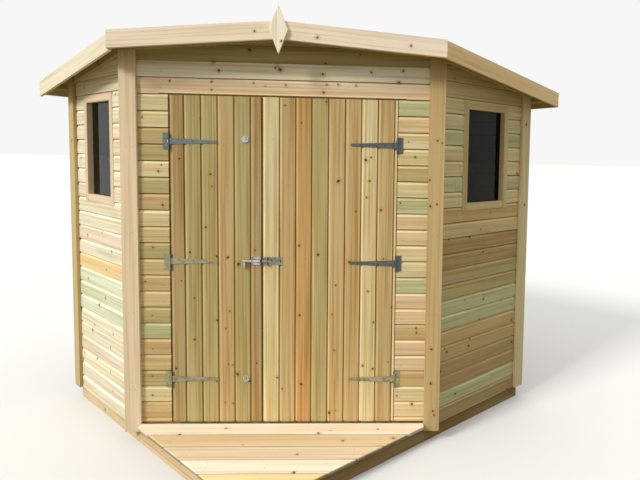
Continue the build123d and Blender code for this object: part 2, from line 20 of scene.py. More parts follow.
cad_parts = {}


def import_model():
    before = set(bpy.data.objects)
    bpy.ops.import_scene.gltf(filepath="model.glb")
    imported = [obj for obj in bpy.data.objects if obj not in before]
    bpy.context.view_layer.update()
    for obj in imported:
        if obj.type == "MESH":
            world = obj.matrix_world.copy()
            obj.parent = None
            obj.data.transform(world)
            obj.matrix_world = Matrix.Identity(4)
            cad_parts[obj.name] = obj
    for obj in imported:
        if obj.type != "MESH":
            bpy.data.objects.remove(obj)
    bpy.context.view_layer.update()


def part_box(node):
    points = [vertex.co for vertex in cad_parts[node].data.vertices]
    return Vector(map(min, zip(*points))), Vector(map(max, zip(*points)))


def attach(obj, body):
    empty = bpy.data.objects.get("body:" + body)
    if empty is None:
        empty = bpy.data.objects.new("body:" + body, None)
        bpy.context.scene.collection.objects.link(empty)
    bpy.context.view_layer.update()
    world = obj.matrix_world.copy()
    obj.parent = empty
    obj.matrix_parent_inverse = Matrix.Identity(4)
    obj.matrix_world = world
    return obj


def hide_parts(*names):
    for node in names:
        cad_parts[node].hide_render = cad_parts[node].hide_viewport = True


LOG = logging.getLogger("summerhouse")

UP = Vector((0.0, 0.0, 1.0))
RIGHT = Vector((1.0, 0.0, 0.0))
BACK = Vector((0.0, 1.0, 0.0))
FRONT = Vector((0.0, -1.0, 0.0))
DIAGONAL = math.sqrt(0.5)
MILLIMETRES = 1000
# Farther out than any piece, and nearer than any two corners
BEYOND = 5.0
CLOSE = 1e-5
# Edges that are rounded, and edges that only part the triangles of a flat face
SHARP_EDGE = math.radians(20)
FLAT_EDGE = math.radians(0.5)
# A side runs along the grain below the first, and a cap looks straight up above the second
ALONG_GRAIN = 0.3
STRAIGHT_UP = 0.99

Socket = bpy.types.NodeSocket
Colour = tuple[float, float, float, float]
Knot = tuple[int, int, int]


def srgb(red: int, green: int, blue: int) -> Colour:
    """Turn a colour as the eye reads it into a linear one.

    Args:
        red: red, from 0 to 255.
        green: green, from 0 to 255.
        blue: blue, from 0 to 255.

    Returns:
        The linear colour, with full opacity.
    """
    def linear(value: int) -> float:
        """Undo the gamma of one channel."""
        share = value / 255
        return share / 12.92 if share <= 0.04045 else ((share + 0.055) / 1.055) ** 2.4

    return (linear(red), linear(green), linear(blue), 1.0)


class Tone(Enum):
    """Colours that the treated boards come in."""

    CREAM = srgb(244, 239, 216)
    BLUSH = srgb(246, 231, 210)
    ROSE = srgb(231, 211, 180)
    APRICOT = srgb(244, 216, 164)
    MINT = srgb(228, 234, 208)
    STRAW = srgb(220, 206, 162)
    PINK = srgb(226, 202, 162)
    HONEY = srgb(207, 187, 138)
    TAN = srgb(200, 174, 124)
    ORANGE = srgb(206, 166, 106)
    GREEN = srgb(194, 196, 152)
    OLIVE = srgb(186, 172, 120)
    BROWN = srgb(178, 154, 108)
    EARTH = srgb(150, 124, 80)


class Side(Enum):
    """A side of the doors as seen from the front, by its name in the nodes and bodies."""

    LEFT = "left"
    RIGHT = "right"

    @property
    def sense(self) -> float:
        """-1 on the left and 1 on the right."""
        return -1.0 if self is Side.LEFT else 1.0

    @property
    def out(self) -> Vector:
        """Direction from the middle of the plan to this side."""
        return RIGHT * self.sense


TONE_LETTERS = {
    "c": Tone.CREAM, "r": Tone.BLUSH, "q": Tone.ROSE, "a": Tone.APRICOT, "m": Tone.MINT, "s": Tone.STRAW,
    "p": Tone.PINK, "h": Tone.HONEY, "t": Tone.TAN, "o": Tone.ORANGE, "g": Tone.GREEN, "v": Tone.OLIVE,
    "b": Tone.BROWN,
}


def tones(letters: str) -> list[Tone]:
    """Read a row of tones from their letters, one for each board."""
    return [TONE_LETTERS[letter] for letter in letters]


class NodeSheet:
    """Adds nodes to one node tree and links them."""

    def __init__(self, tree: bpy.types.NodeTree) -> None:
        """Work on a tree."""
        self.tree = tree

    def add(self, kind: str, sockets: dict[str | int, object] | None = None,
            **settings: object) -> bpy.types.Node:
        """Add a node.

        Args:
            kind: type of the node.
            sockets: a value or an output for each input, by name or number.
            settings: properties of the node.

        Returns:
            The new node.
        """
        node = self.tree.nodes.new(kind)
        for name, value in settings.items():
            setattr(node, name, value)
        for key, value in (sockets or {}).items():
            self.feed(node.inputs[key], value)
        return node

    def feed(self, socket: Socket, value: object) -> None:
        """Link an output to an input, or set the input to a value.

        Args:
            socket: the input.
            value: the output or the value.
        """
        if isinstance(value, bpy.types.NodeSocket):
            self.tree.links.new(value, socket)
        else:
            socket.default_value = value

    def math(self, operation: str, *values: object, clamp: bool = False) -> Socket:
        """Add a Math node and return its output."""
        sockets = dict(enumerate(values))
        return self.add("ShaderNodeMath", sockets, operation=operation, use_clamp=clamp).outputs[0]

    def vector(self, operation: str, *values: object) -> Socket:
        """Add a Vector Math node and return its vector."""
        return self.add("ShaderNodeVectorMath", dict(enumerate(values)), operation=operation).outputs[0]

    def length(self, vector: Socket) -> Socket:
        """Add a node that measures a vector, and return its value."""
        return self.add("ShaderNodeVectorMath", {0: vector}, operation="LENGTH").outputs["Value"]

    def split(self, colour: Socket) -> bpy.types.NodeOutputs:
        """Split a colour and return its channels."""
        return self.add("ShaderNodeSeparateColor", {0: colour}).outputs

    def height(self, place: Socket) -> Socket:
        """Return the Z of a place."""
        return self.add("ShaderNodeSeparateXYZ", {0: place}).outputs["Z"]

    def place(self) -> Socket:
        """Return the Object coordinates."""
        return self.add("ShaderNodeTexCoord").outputs["Object"]

    def noise(self, vector: Socket, scale: Sequence[float], detail: float = 3.0) -> Socket:
        """Add a noise of its own scale along each axis, and return its value."""
        sockets = {"Vector": self.vector("MULTIPLY", vector, tuple(scale)), "Scale": 1.0, "Detail": detail}
        return self.add("ShaderNodeTexNoise", sockets).outputs["Fac"]

    def ramp(self, value: Socket, low: float, high: float, first: float = 0.0, last: float = 1.0) -> Socket:
        """Map a value smoothly from one range to another, and return the result."""
        sockets = {0: value, 1: low, 2: high, 3: first, 4: last}
        return self.add("ShaderNodeMapRange", sockets, interpolation_type="SMOOTHSTEP").outputs[0]

    def between(self, share: Socket, first: object, last: object) -> Socket:
        """Map a share from 0 to 1 evenly to a value between two others."""
        return self.add("ShaderNodeMapRange", {0: share, 1: 0.0, 2: 1.0, 3: first, 4: last}).outputs[0]

    def mix(self, factor: object, first: object, second: object, blend: str = "MIX") -> Socket:
        """Mix two colours and return the result."""
        sockets = {0: factor, 6: first, 7: second}
        return self.add("ShaderNodeMix", sockets, data_type="RGBA", blend_type=blend).outputs[2]

    def bump(self, height: Socket, strength: float, distance: float) -> Socket:
        """Turn a height into a normal and return it."""
        sockets = {"Height": height, "Strength": strength, "Distance": distance}
        return self.add("ShaderNodeBump", sockets).outputs[0]


@dataclass(frozen=True)
class Pattern:
    """A noise of its own scale along each axis, and how its middle range becomes a mask or a factor."""

    scale: tuple[float, float, float]
    detail: float
    low: float
    high: float
    first: float = 0.0
    last: float = 1.0

    def on(self, sheet: NodeSheet, place: Socket) -> Socket:
        """Lay the pattern over a place and return its value."""
        noise = sheet.noise(place, self.scale, self.detail)
        return sheet.ramp(noise, self.low, self.high, self.first, self.last)


class EffectGroup:
    """A shader node group that more than one material uses."""

    name = "effect"
    inputs: tuple[tuple[str, str, object], ...] = ()
    outputs: tuple[tuple[str, str], ...] = (("Color", "Color"), ("Roughness", "Float"), ("Height", "Float"))

    @classmethod
    def get(cls) -> bpy.types.NodeTree:
        """Build the group the first time.

        Returns:
            The group.
        """
        if cls.name in bpy.data.node_groups:
            return bpy.data.node_groups[cls.name]
        tree = bpy.data.node_groups.new(cls.name, "ShaderNodeTree")
        for name, kind, default in cls.inputs:
            socket = tree.interface.new_socket(name=name, in_out="INPUT", socket_type=f"NodeSocket{kind}")
            if default is not None:
                socket.default_value = default
        for name, kind in cls.outputs:
            tree.interface.new_socket(name=name, in_out="OUTPUT", socket_type=f"NodeSocket{kind}")
        sheet = NodeSheet(tree)
        entry = sheet.add("NodeGroupInput")
        sheet.add("NodeGroupOutput", cls.build(sheet, entry.outputs))
        return tree

    @classmethod
    def build(cls, sheet: NodeSheet, given: bpy.types.NodeOutputs) -> dict[str, Socket]:
        """Build the inside of the group.

        Args:
            sheet: the group's node tree.
            given: the group's inputs, by name.

        Returns:
            The group's outputs, by name.
        """
        raise NotImplementedError

    @classmethod
    def place(cls, sheet: NodeSheet, sockets: dict[str, object]) -> bpy.types.NodeOutputs:
        """Place the group in a material.

        Args:
            sheet: the material's node tree.
            sockets: a value or an output for each of the group's inputs.

        Returns:
            The outputs of the group's node.
        """
        node = sheet.add("ShaderNodeGroup", node_tree=cls.get())
        for name, value in sockets.items():
            sheet.feed(node.inputs[name], value)
        return node.outputs


class TimberFigure(EffectGroup):
    """Growth rings, streaks, knots and blotches of the treatment, in coordinates that follow each board."""

    name = "timber figure"
    inputs = (
        ("Grain", "Vector", None), ("Tone", "Color", None), ("Knots", "Float", 0.6), ("Figure", "Float", 0.5),
        ("Stain", "Float", 0.4), ("Set Knots", "Float", 9.0),
    )

    FAR = 9.0
    KNOT_CELL = (0.26, 0.085, 1.0)
    KNOT_SCATTER = 0.9
    KNOT_RADIUS = (0.0035, 0.0095)
    KNOT_WOBBLE = Pattern((60.0, 60.0, 60.0), 1.0, 0.2, 0.8, 0.8, 1.25)
    KNOT_EDGE = (0.7, 1.05)
    HALO_EDGE = (0.9, 3.0)
    RING_PITCH = 0.0085
    RING_EDGE = (-0.3, 1.0)
    RING_WANDER = 0.045
    WANDER_SCALE = (0.7, 5.0, 5.0)
    KNOT_SWIRL = 0.010
    STREAKS = Pattern((1.3, 75.0, 75.0), 4.0, 0.42, 0.66)
    BROAD_BANDS = Pattern((0.9, 22.0, 22.0), 2.0, 0.35, 0.75)
    BLOTCHES = Pattern((2.2, 12.0, 12.0), 3.0, 0.48, 0.78)
    FIBRE_SCALE = (14.0, 500.0, 500.0)
    RING_SHARE = 0.45
    HALO_SHARE = 0.45
    KNOT_SHARE = 0.92
    ROUGHNESS = (0.66, 0.82)
    RING_HEIGHT = -0.35
    FIBRE_HEIGHT = 0.5
    KNOT_HEIGHT = 0.6
    KNOT_COLOUR = srgb(70, 48, 26)
    HALO_COLOUR = srgb(168, 126, 72)
    LATEWOOD_COLOUR = srgb(216, 197, 162)
    STREAK_COLOUR = srgb(210, 197, 164)
    BROAD_COLOUR = srgb(238, 216, 182)
    STAIN_COLOUR = srgb(164, 170, 118)

    @classmethod
    def knots(cls, sheet: NodeSheet, grain: Socket, share: Socket) -> tuple[Socket, Socket]:
        """Scatter knots over the boards.

        Args:
            sheet: the group's node tree.
            grain: place along, across and through the board.
            share: share of the cells that hold a knot.

        Returns:
            A mask of the knots and a mask of the darker, curled wood round them.
        """
        size_x, size_y, _ = cls.KNOT_CELL
        flat = sheet.vector("MULTIPLY", grain, (1 / size_x, 1 / size_y, 0.0))
        sockets = {"Vector": flat, "Scale": 1.0, "Randomness": cls.KNOT_SCATTER}
        cells = sheet.add("ShaderNodeTexVoronoi", sockets, voronoi_dimensions="2D").outputs
        away = sheet.vector("MULTIPLY", sheet.vector("SUBTRACT", flat, cells["Position"]), cls.KNOT_CELL)
        length = sheet.math("MULTIPLY", sheet.length(away), cls.KNOT_WOBBLE.on(sheet, grain))
        chance = sheet.split(cells["Color"])
        present = sheet.math("LESS_THAN", chance[0], share)
        ratio = sheet.math("DIVIDE", length, sheet.between(chance[1], *cls.KNOT_RADIUS))
        absent = sheet.math("MULTIPLY", sheet.math("SUBTRACT", 1.0, present), cls.FAR)
        return cls.rounds(sheet, sheet.math("ADD", ratio, absent))

    @classmethod
    def rounds(cls, sheet: NodeSheet, ratio: Socket) -> tuple[Socket, Socket]:
        """Masks of a knot and of the wood round it, from the distance in radii."""
        return sheet.ramp(ratio, *cls.KNOT_EDGE, 1.0, 0.0), sheet.ramp(ratio, *cls.HALO_EDGE, 1.0, 0.0)

    @classmethod
    def rings(cls, sheet: NodeSheet, grain: Socket, halo: Socket) -> Socket:
        """Cut the board from a log with its growth rings.

        Args:
            sheet: the group's node tree.
            grain: place along, across and through the board.
            halo: mask of the wood round the knots, which the rings swirl round.

        Returns:
            A mask of the dark part of each ring.
        """
        heart = sheet.length(sheet.vector("MULTIPLY", grain, (0.0, 1.0, 1.0)))
        wander = sheet.math("MULTIPLY", sheet.noise(grain, cls.WANDER_SCALE, 2.0), cls.RING_WANDER)
        swirl = sheet.math("MULTIPLY", halo, cls.KNOT_SWIRL)
        radius = sheet.math("ADD", sheet.math("ADD", heart, wander), swirl)
        wave = sheet.math("SINE", sheet.math("MULTIPLY", radius, 2 * math.pi / cls.RING_PITCH))
        return sheet.ramp(wave, *cls.RING_EDGE)

    @classmethod
    def build(cls, sheet: NodeSheet, given: bpy.types.NodeOutputs) -> dict[str, Socket]:
        """Build the figure of the timber.

        Args:
            sheet: the group's node tree.
            given: the group's inputs, by name.

        Returns:
            The group's outputs, by name.
        """
        grain, figure = given["Grain"], given["Figure"]
        core, halo = cls.knots(sheet, grain, given["Knots"])
        set_core, set_halo = cls.rounds(sheet, given["Set Knots"])
        core, halo = sheet.math("MAXIMUM", core, set_core), sheet.math("MAXIMUM", halo, set_halo)
        rings = cls.rings(sheet, grain, halo)
        streaks = cls.STREAKS.on(sheet, grain)
        colour = given["Tone"]
        for mask, share, shade, blend in (
            (rings, sheet.math("MULTIPLY", figure, cls.RING_SHARE), cls.LATEWOOD_COLOUR, "MULTIPLY"),
            (streaks, figure, cls.STREAK_COLOUR, "MULTIPLY"),
            (cls.BROAD_BANDS.on(sheet, grain), figure, cls.BROAD_COLOUR, "MULTIPLY"),
            (cls.BLOTCHES.on(sheet, grain), given["Stain"], cls.STAIN_COLOUR, "MIX"),
            (halo, cls.HALO_SHARE, cls.HALO_COLOUR, "MIX"),
            (core, cls.KNOT_SHARE, cls.KNOT_COLOUR, "MIX"),
        ):
            colour = sheet.mix(sheet.math("MULTIPLY", mask, share), colour, shade, blend)
        fibre = sheet.math("MULTIPLY", sheet.noise(grain, cls.FIBRE_SCALE, 2.0), cls.FIBRE_HEIGHT)
        height = sheet.math("ADD", sheet.math("MULTIPLY", rings, cls.RING_HEIGHT), fibre)
        height = sheet.math("SUBTRACT", height, sheet.math("MULTIPLY", core, cls.KNOT_HEIGHT))
        return {"Color": colour, "Roughness": sheet.ramp(streaks, 0.0, 1.0, *cls.ROUGHNESS), "Height": height}


class MetalBloom(EffectGroup):
    """Spangle, dull bloom and small pits of zinc plate, in metres of the object."""

    name = "metal bloom"
    inputs = (
        ("Place", "Vector", None), ("Clean", "Color", None), ("Dull", "Color", None), ("Bloom", "Float", 0.5),
    )

    SPANGLE_SCALE = 190.0
    SPANGLE_SHARE = 0.35
    CLOUDS = Pattern((55.0, 55.0, 55.0), 4.0, 0.35, 0.7)
    PIT_SCALE = (300.0, 300.0, 300.0)
    ROUGHNESS = (0.26, 0.62)

    @classmethod
    def build(cls, sheet: NodeSheet, given: bpy.types.NodeOutputs) -> dict[str, Socket]:
        """Build the bloom of the metal.

        Args:
            sheet: the group's node tree.
            given: the group's inputs, by name.

        Returns:
            The group's outputs, by name.
        """
        place = given["Place"]
        flakes = sheet.add("ShaderNodeTexVoronoi", {"Vector": place, "Scale": cls.SPANGLE_SCALE}).outputs
        spangle = sheet.math("MULTIPLY", sheet.split(flakes["Color"])[0], cls.SPANGLE_SHARE)
        cloud = sheet.math("ADD", cls.CLOUDS.on(sheet, place), spangle)
        dull = sheet.math("MULTIPLY", cloud, given["Bloom"], clamp=True)
        return {
            "Color": sheet.mix(dull, given["Clean"], given["Dull"]),
            "Roughness": sheet.ramp(dull, 0.0, 1.0, *cls.ROUGHNESS),
            "Height": sheet.noise(place, cls.PIT_SCALE, 2.0),
        }


class Finish:
    """A finish that makes its material once."""

    name: str

    def shade(self, sheet: NodeSheet) -> dict[str, object]:
        """Shade the finish.

        Args:
            sheet: the material's node tree.

        Returns:
            A value or an output for each of the shader's sockets that the finish sets.
        """
        raise NotImplementedError

    def material(self) -> bpy.types.Material:
        """Make the finish's material the first time.

        Returns:
            The material.
        """
        if self.name in bpy.data.materials:
            return bpy.data.materials[self.name]
        material = bpy.data.materials.new(self.name)
        material.use_nodes = True
        material.node_tree.nodes.clear()
        sheet = NodeSheet(material.node_tree)
        shader = sheet.add("ShaderNodeBsdfPrincipled", self.shade(sheet))
        sheet.add("ShaderNodeOutputMaterial", {"Surface": shader.outputs[0]})
        return material


@dataclass(frozen=True)
class TimberFinish(Finish):
    """Planed or sawn treated softwood, whose boards carry their own grain and tone."""

    name: str
    knots: float = 0.6
    figure: float = 0.5
    stain: float = 0.35
    relief: float = 0.0006
    set_knots: tuple[Knot, ...] = ()
    knot_plane: float = -0.660
    knot_wobble: Pattern = Pattern((90.0, 90.0, 60.0), 1.0, 0.25, 0.75, 0.75, 1.35)
    bump: float = 0.6
    specular: float = 0.3

    def nearest_knot(self, sheet: NodeSheet) -> Socket:
        """Measure how far the nearest of the set knots is.

        Args:
            sheet: the material's node tree.

        Returns:
            The distance in radii of that knot.
        """
        place = sheet.place()
        distances = []
        for across, height, radius in self.set_knots:
            size = radius / MILLIMETRES
            middle = (-across / radius, -self.knot_plane / size, -height / radius)
            away = sheet.vector("MULTIPLY_ADD", place, (1 / size, 1 / size, 1 / size), middle)
            distances.append(sheet.length(away))
        nearest = distances[0]
        for distance in distances[1:]:
            nearest = sheet.math("MINIMUM", nearest, distance)
        return sheet.math("MULTIPLY", nearest, self.knot_wobble.on(sheet, place))

    def shade(self, sheet: NodeSheet) -> dict[str, object]:
        """Shade the timber from the boards' grain and tone.

        Args:
            sheet: the material's node tree.

        Returns:
            The shader's sockets that the finish sets.
        """
        grain = sheet.add("ShaderNodeAttribute", attribute_name="grain").outputs["Vector"]
        tone = sheet.add("ShaderNodeAttribute", attribute_name="tone").outputs["Color"]
        sockets = {"Grain": grain, "Tone": tone, "Knots": self.knots, "Figure": self.figure,
                   "Stain": self.stain}
        if self.set_knots:
            sockets["Set Knots"] = self.nearest_knot(sheet)
        figure = TimberFigure.place(sheet, sockets)
        return {
            "Base Color": figure["Color"], "Roughness": figure["Roughness"],
            "Normal": sheet.bump(figure["Height"], self.bump, self.relief),
            "Specular IOR Level": self.specular,
        }


@dataclass(frozen=True)
class ZincFinish(Finish):
    """Zinc-plated steel, from bright to dull, which may be paler towards the ground."""

    name: str
    clean: Colour
    dull: Colour
    bloom: float
    foot: Colour | None = None
    foot_reach: tuple[float, float] = (0.0, 1.0)
    bump: float = 0.3
    relief: float = 0.0003
    metallic: float = 0.9

    def shade(self, sheet: NodeSheet) -> dict[str, object]:
        """Shade the metal with its bloom.

        Args:
            sheet: the material's node tree.

        Returns:
            The shader's sockets that the finish sets.
        """
        place = sheet.place()
        clean: object = self.clean
        if self.foot:
            clean = sheet.mix(sheet.ramp(sheet.height(place), *self.foot_reach), self.foot, self.clean)
        sockets = {"Place": place, "Clean": clean, "Dull": self.dull, "Bloom": self.bloom}
        bloom = MetalBloom.place(sheet, sockets)
        return {
            "Base Color": bloom["Color"], "Roughness": bloom["Roughness"],
            "Normal": sheet.bump(bloom["Height"], self.bump, self.relief), "Metallic": self.metallic,
        }


@dataclass(frozen=True)
class GlassFinish(Finish):
    """Sheet glass with a faint ripple, tinted dark as painted shade for the unlit inside seen through it."""

    name: str = "sheet glass"
    # Dark tint: painted shade of the inside behind the pane
    inside_shade_tint: Colour = srgb(94, 102, 96)
    roughness: float = 0.02
    bending: float = 1.2
    ripple_scale: tuple[float, float, float] = (3.0, 3.0, 2.0)
    bump: float = 0.15
    relief: float = 0.002

    def shade(self, sheet: NodeSheet) -> dict[str, object]:
        """Shade the glass.

        Args:
            sheet: the material's node tree.

        Returns:
            The shader's sockets that the finish sets.
        """
        ripple = sheet.noise(sheet.place(), self.ripple_scale, 1.0)
        return {
            "Base Color": self.inside_shade_tint, "Roughness": self.roughness, "IOR": self.bending,
            "Transmission Weight": 1.0, "Normal": sheet.bump(ripple, self.bump, self.relief),
        }


@dataclass(frozen=True)
class FeltFinish(Finish):
    """Mineral roofing felt: dark bitumen with coloured grit."""

    name: str = "mineral felt"
    grit: Colour = srgb(98, 106, 92)
    dark: Colour = srgb(50, 54, 48)
    grit_scale: float = 620.0
    grit_share: float = 0.7
    cloud_scale: tuple[float, float, float] = (2.0, 2.0, 2.0)
    cloud_share: float = 0.4
    roughness: tuple[float, float] = (0.85, 0.97)
    bump: float = 0.5
    relief: float = 0.001

    def shade(self, sheet: NodeSheet) -> dict[str, object]:
        """Shade the felt with grit over bitumen.

        Args:
            sheet: the material's node tree.

        Returns:
            The shader's sockets that the finish sets.
        """
        place = sheet.place()
        grains = sheet.add("ShaderNodeTexVoronoi", {"Vector": place, "Scale": self.grit_scale}).outputs
        shade = sheet.split(grains["Color"])[0]
        cloud = sheet.math("MULTIPLY", sheet.noise(place, self.cloud_scale, 4.0), self.cloud_share)
        share = sheet.math("ADD", sheet.math("MULTIPLY", shade, self.grit_share), cloud, clamp=True)
        return {
            "Base Color": sheet.mix(share, self.dark, self.grit),
            "Roughness": sheet.ramp(shade, 0.0, 1.0, *self.roughness),
            "Normal": sheet.bump(grains["Distance"], self.bump, self.relief),
        }


# Knots of the front that stand at set places: place across and height, then radius, in millimetres
FRONT_KNOTS = (
    (-193, 2216, 11), (-390, 2145, 9), (-360, 2099, 8), (-46, 2139, 6), (-28, 2115, 9), (-53, 2122, 5),
    (-623, 2037, 5), (-398, 2039, 7), (-398, 1994, 5), (-171, 2036, 5), (-109, 2021, 4), (5, 2030, 5),
    (-773, 1837, 6), (407, 2208, 5), (218, 2154, 6), (205, 2096, 8), (472, 2112, 6), (648, 2124, 6),
    (625, 2060, 8), (228, 2038, 5), (290, 2043, 6), (388, 2038, 6), (211, 1994, 7), (-674, 1579, 4),
    (-689, 1543, 7), (-668, 1357, 8), (683, 1733, 4), (723, 1649, 6), (644, 1390, 5), (745, 670, 7),
    (748, 642, 6), (642, 269, 5), (731, 223, 8), (-724, 1119, 6), (-770, 927, 5), (-732, 734, 4),
    (-735, 544, 4), (-738, 385, 5), (-739, 275, 5), (-801, 187, 6),
)
DOOR_KNOTS = (
    (-575, 1614, 7), (-408, 1532, 7), (-435, 1237, 7), (-627, 1314, 6), (-401, 1465, 5), (-278, 1933, 6),
    (-460, 1838, 5), (0, 1921, 5), (90, 1826, 5), (226, 1945, 7), (448, 1627, 8), (477, 1643, 5),
    (295, 1507, 10), (468, 1510, 6), (454, 1417, 5), (395, 1337, 5), (534, 1347, 7), (332, 1710, 5),
    (-377, 1074, 7), (-259, 1031, 10), (-315, 1067, 8), (-523, 1096, 6), (-500, 835, 6), (-375, 710, 7),
    (-306, 763, 5), (-166, 1110, 7), (-572, 932, 5), (-620, 961, 5), (80, 1140, 7), (-29, 1226, 5),
    (185, 1090, 7), (361, 1050, 9), (469, 882, 6), (284, 916, 5), (84, 742, 7), (604, 790, 7),
    (553, 1070, 5), (266, 748, 5), (500, 703, 5), (-607, 430, 8), (-327, 663, 5), (-316, 456, 5),
    (-290, 451, 5), (-264, 398, 11), (-196, 356, 7), (-157, 462, 7), (-380, 356, 6), (-334, 232, 6),
    (-290, 228, 6), (-14, 312, 5), (-502, 598, 6), (-43, 379, 6), (94, 340, 8), (280, 538, 6),
    (442, 449, 6), (500, 431, 7), (253, 170, 9), (289, 182, 5), (587, 471, 4),
)
TRIM_KNOTS = (
    (845, 1744, 5), (871, 1731, 5), (807, 1523, 6), (813, 1375, 7), (850, 1388, 6), (852, 189, 7),
    (858, 165, 6), (834, 554, 7), (835, 352, 8),
)


class Finishes:
    """The finishes of the summerhouse."""

    CLADDING = TimberFinish("planed cladding", knots=0.4, figure=0.5, stain=0.30)
    FRONT = TimberFinish("planed front cladding", knots=0.0, figure=0.5, stain=0.28, set_knots=FRONT_KNOTS)
    DOOR = TimberFinish("planed door board", knots=0.0, figure=0.65, stain=0.28, set_knots=DOOR_KNOTS)
    LEDGE = TimberFinish("planed ledge", knots=0.4, figure=0.5, stain=0.3)
    TRIM = TimberFinish("planed trim", knots=0.2, figure=0.4, stain=0.12)
    FRONT_TRIM = TimberFinish("planed front trim", knots=0.0, figure=0.4, stain=0.12, set_knots=TRIM_KNOTS,
                              knot_plane=-0.680)
    DECK = TimberFinish("planed deck board", knots=0.4, figure=0.4, stain=0.1)
    SAWN = TimberFinish("sawn framing", knots=0.45, figure=0.55, stain=0.5, relief=0.0012)
    ROOF_BOARD = TimberFinish("roof board", knots=0.6, figure=0.5, stain=0.2)
    GALVANISED = ZincFinish("galvanised iron left", srgb(118, 125, 124), srgb(88, 92, 84), 0.5,
                            srgb(172, 167, 132), (0.80, 1.70))
    GALVANISED_DARK = ZincFinish("galvanised iron right", srgb(96, 102, 100), srgb(70, 74, 68), 0.5,
                                 srgb(176, 168, 130), (0.35, 0.95))
    BRIGHT_ZINC = ZincFinish("bright zinc", srgb(200, 200, 198), srgb(112, 112, 106), 0.55)
    DULL_ZINC = ZincFinish("dull zinc", srgb(150, 148, 134), srgb(96, 92, 78), 0.6)
    NAIL = ZincFinish("nail head", srgb(104, 92, 66), srgb(62, 52, 36), 0.9)
    GLASS = GlassFinish()
    FELT = FeltFinish()


@dataclass(frozen=True)
class Cut:
    """A flat cut: what lies on the side that the normal points to is taken off."""

    point: Vector
    normal: Vector

    def turned(self) -> Cut:
        """The cut that takes off the other side."""
        return Cut(self.point, -self.normal)


@dataclass(frozen=True)
class Face:
    """A flat face that boards lie on: X along the grain, Y across it, Z out of it."""

    origin: Vector
    along: Vector
    across: Vector

    @property
    def out(self) -> Vector:
        """Direction out of the face."""
        return self.along.cross(self.across)

    def matrix(self) -> Matrix:
        """Matrix that takes the face's own coordinates to the frame."""
        turn = Matrix((self.along, self.across, self.out)).transposed().to_4x4()
        return Matrix.Translation(self.origin) @ turn


def block(low: Sequence[float], high: Sequence[float]) -> bmesh.types.BMesh:
    """Make a plain block.

    Args:
        low: its lowest corner.
        high: its highest corner.

    Returns:
        The block.
    """
    mesh = bmesh.new()
    bmesh.ops.create_cube(mesh, size=1.0)
    size = [upper - lower for lower, upper in zip(low, high)]
    middle = [(upper + lower) / 2 for lower, upper in zip(low, high)]
    bmesh.ops.scale(mesh, verts=mesh.verts, vec=size)
    bmesh.ops.translate(mesh, verts=mesh.verts, vec=middle)
    return mesh


def ease(mesh: bmesh.types.BMesh, radius: float, segments: int = 2) -> None:
    """Round every sharp edge of a closed mesh.

    Args:
        mesh: the mesh.
        radius: how far the edges are rounded.
        segments: number of steps of the rounding.
    """
    sharp = [edge for edge in mesh.edges if edge.is_manifold and edge.calc_face_angle(0.0) > SHARP_EDGE]
    if sharp:
        bmesh.ops.bevel(mesh, geom=sharp, offset=radius, segments=segments, profile=0.5, affect="EDGES",
                        material=-1, clamp_overlap=True)


def slice_off(mesh: bmesh.types.BMesh, cut: Cut) -> None:
    """Cut a closed mesh and close the cut.

    Args:
        mesh: the mesh.
        cut: the cut.
    """
    geometry = [*mesh.verts, *mesh.edges, *mesh.faces]
    made = bmesh.ops.bisect_plane(mesh, geom=geometry, dist=CLOSE / 10, plane_co=cut.point,
                                  plane_no=cut.normal, clear_outer=True)["geom_cut"]
    rim = [item for item in made if isinstance(item, bmesh.types.BMEdge) and item.is_boundary]
    if rim:
        bmesh.ops.edgeloop_fill(mesh, edges=rim)


def join(mesh: bmesh.types.BMesh, other: bmesh.types.BMesh) -> None:
    """Add a mesh to another.

    Args:
        mesh: the mesh that grows.
        other: the mesh that is added and freed.
    """
    carrier = bpy.data.meshes.new("carrier")
    other.to_mesh(carrier)
    mesh.from_mesh(carrier)
    bpy.data.meshes.remove(carrier)
    other.free()


def islands(mesh: bmesh.types.BMesh) -> list[bmesh.types.BMesh]:
    """Split a mesh into its loose solids.

    Args:
        mesh: the mesh, which is left as it is.

    Returns:
        A copy of each solid.
    """
    mesh.verts.index_update()
    mesh.verts.ensure_lookup_table()
    solids = []
    seen: set[int] = set()
    for vert in mesh.verts:
        if vert.index in seen:
            continue
        group, queue = {vert.index}, [vert]
        while queue:
            for edge in queue.pop().link_edges:
                for other in edge.verts:
                    if other.index not in group:
                        group.add(other.index)
                        queue.append(other)
        seen |= group
        solid = mesh.copy()
        strangers = [vert for vert in solid.verts if vert.index not in group]
        bmesh.ops.delete(solid, geom=strangers, context="VERTS")
        solids.append(solid)
    return solids


def node_solids(node: str) -> list[bmesh.types.BMesh]:
    """Copy a CAD node as separate solids with whole flat faces.

    Args:
        node: name of the node.

    Returns:
        A mesh for each solid.
    """
    mesh = bmesh.new()
    mesh.from_mesh(bpy.data.objects[node].data)
    bmesh.ops.remove_doubles(mesh, verts=mesh.verts, dist=CLOSE)
    bmesh.ops.dissolve_limit(mesh, angle_limit=FLAT_EDGE, verts=mesh.verts, edges=mesh.edges)
    solids = islands(mesh)
    mesh.free()
    return solids


def centre(mesh: bmesh.types.BMesh) -> Vector:
    """Middle of a mesh's corners."""
    return sum((vert.co for vert in mesh.verts), Vector()) / len(mesh.verts)


def grain_face(solid: bmesh.types.BMesh) -> Face:
    """Find how the grain runs in a solid.

    Args:
        solid: the solid.

    Returns:
        A face with its grain along the longest edge and its out direction off the widest side.
    """
    longest = max(solid.edges, key=lambda edge: edge.calc_length())
    along = (longest.verts[1].co - longest.verts[0].co).normalized()
    sides = [side for side in solid.faces if abs(side.normal.dot(along)) < ALONG_GRAIN]
    out = max(sides, key=lambda side: side.calc_area()).normal.copy()
    return Face(centre(solid), along, out.cross(along).normalized())


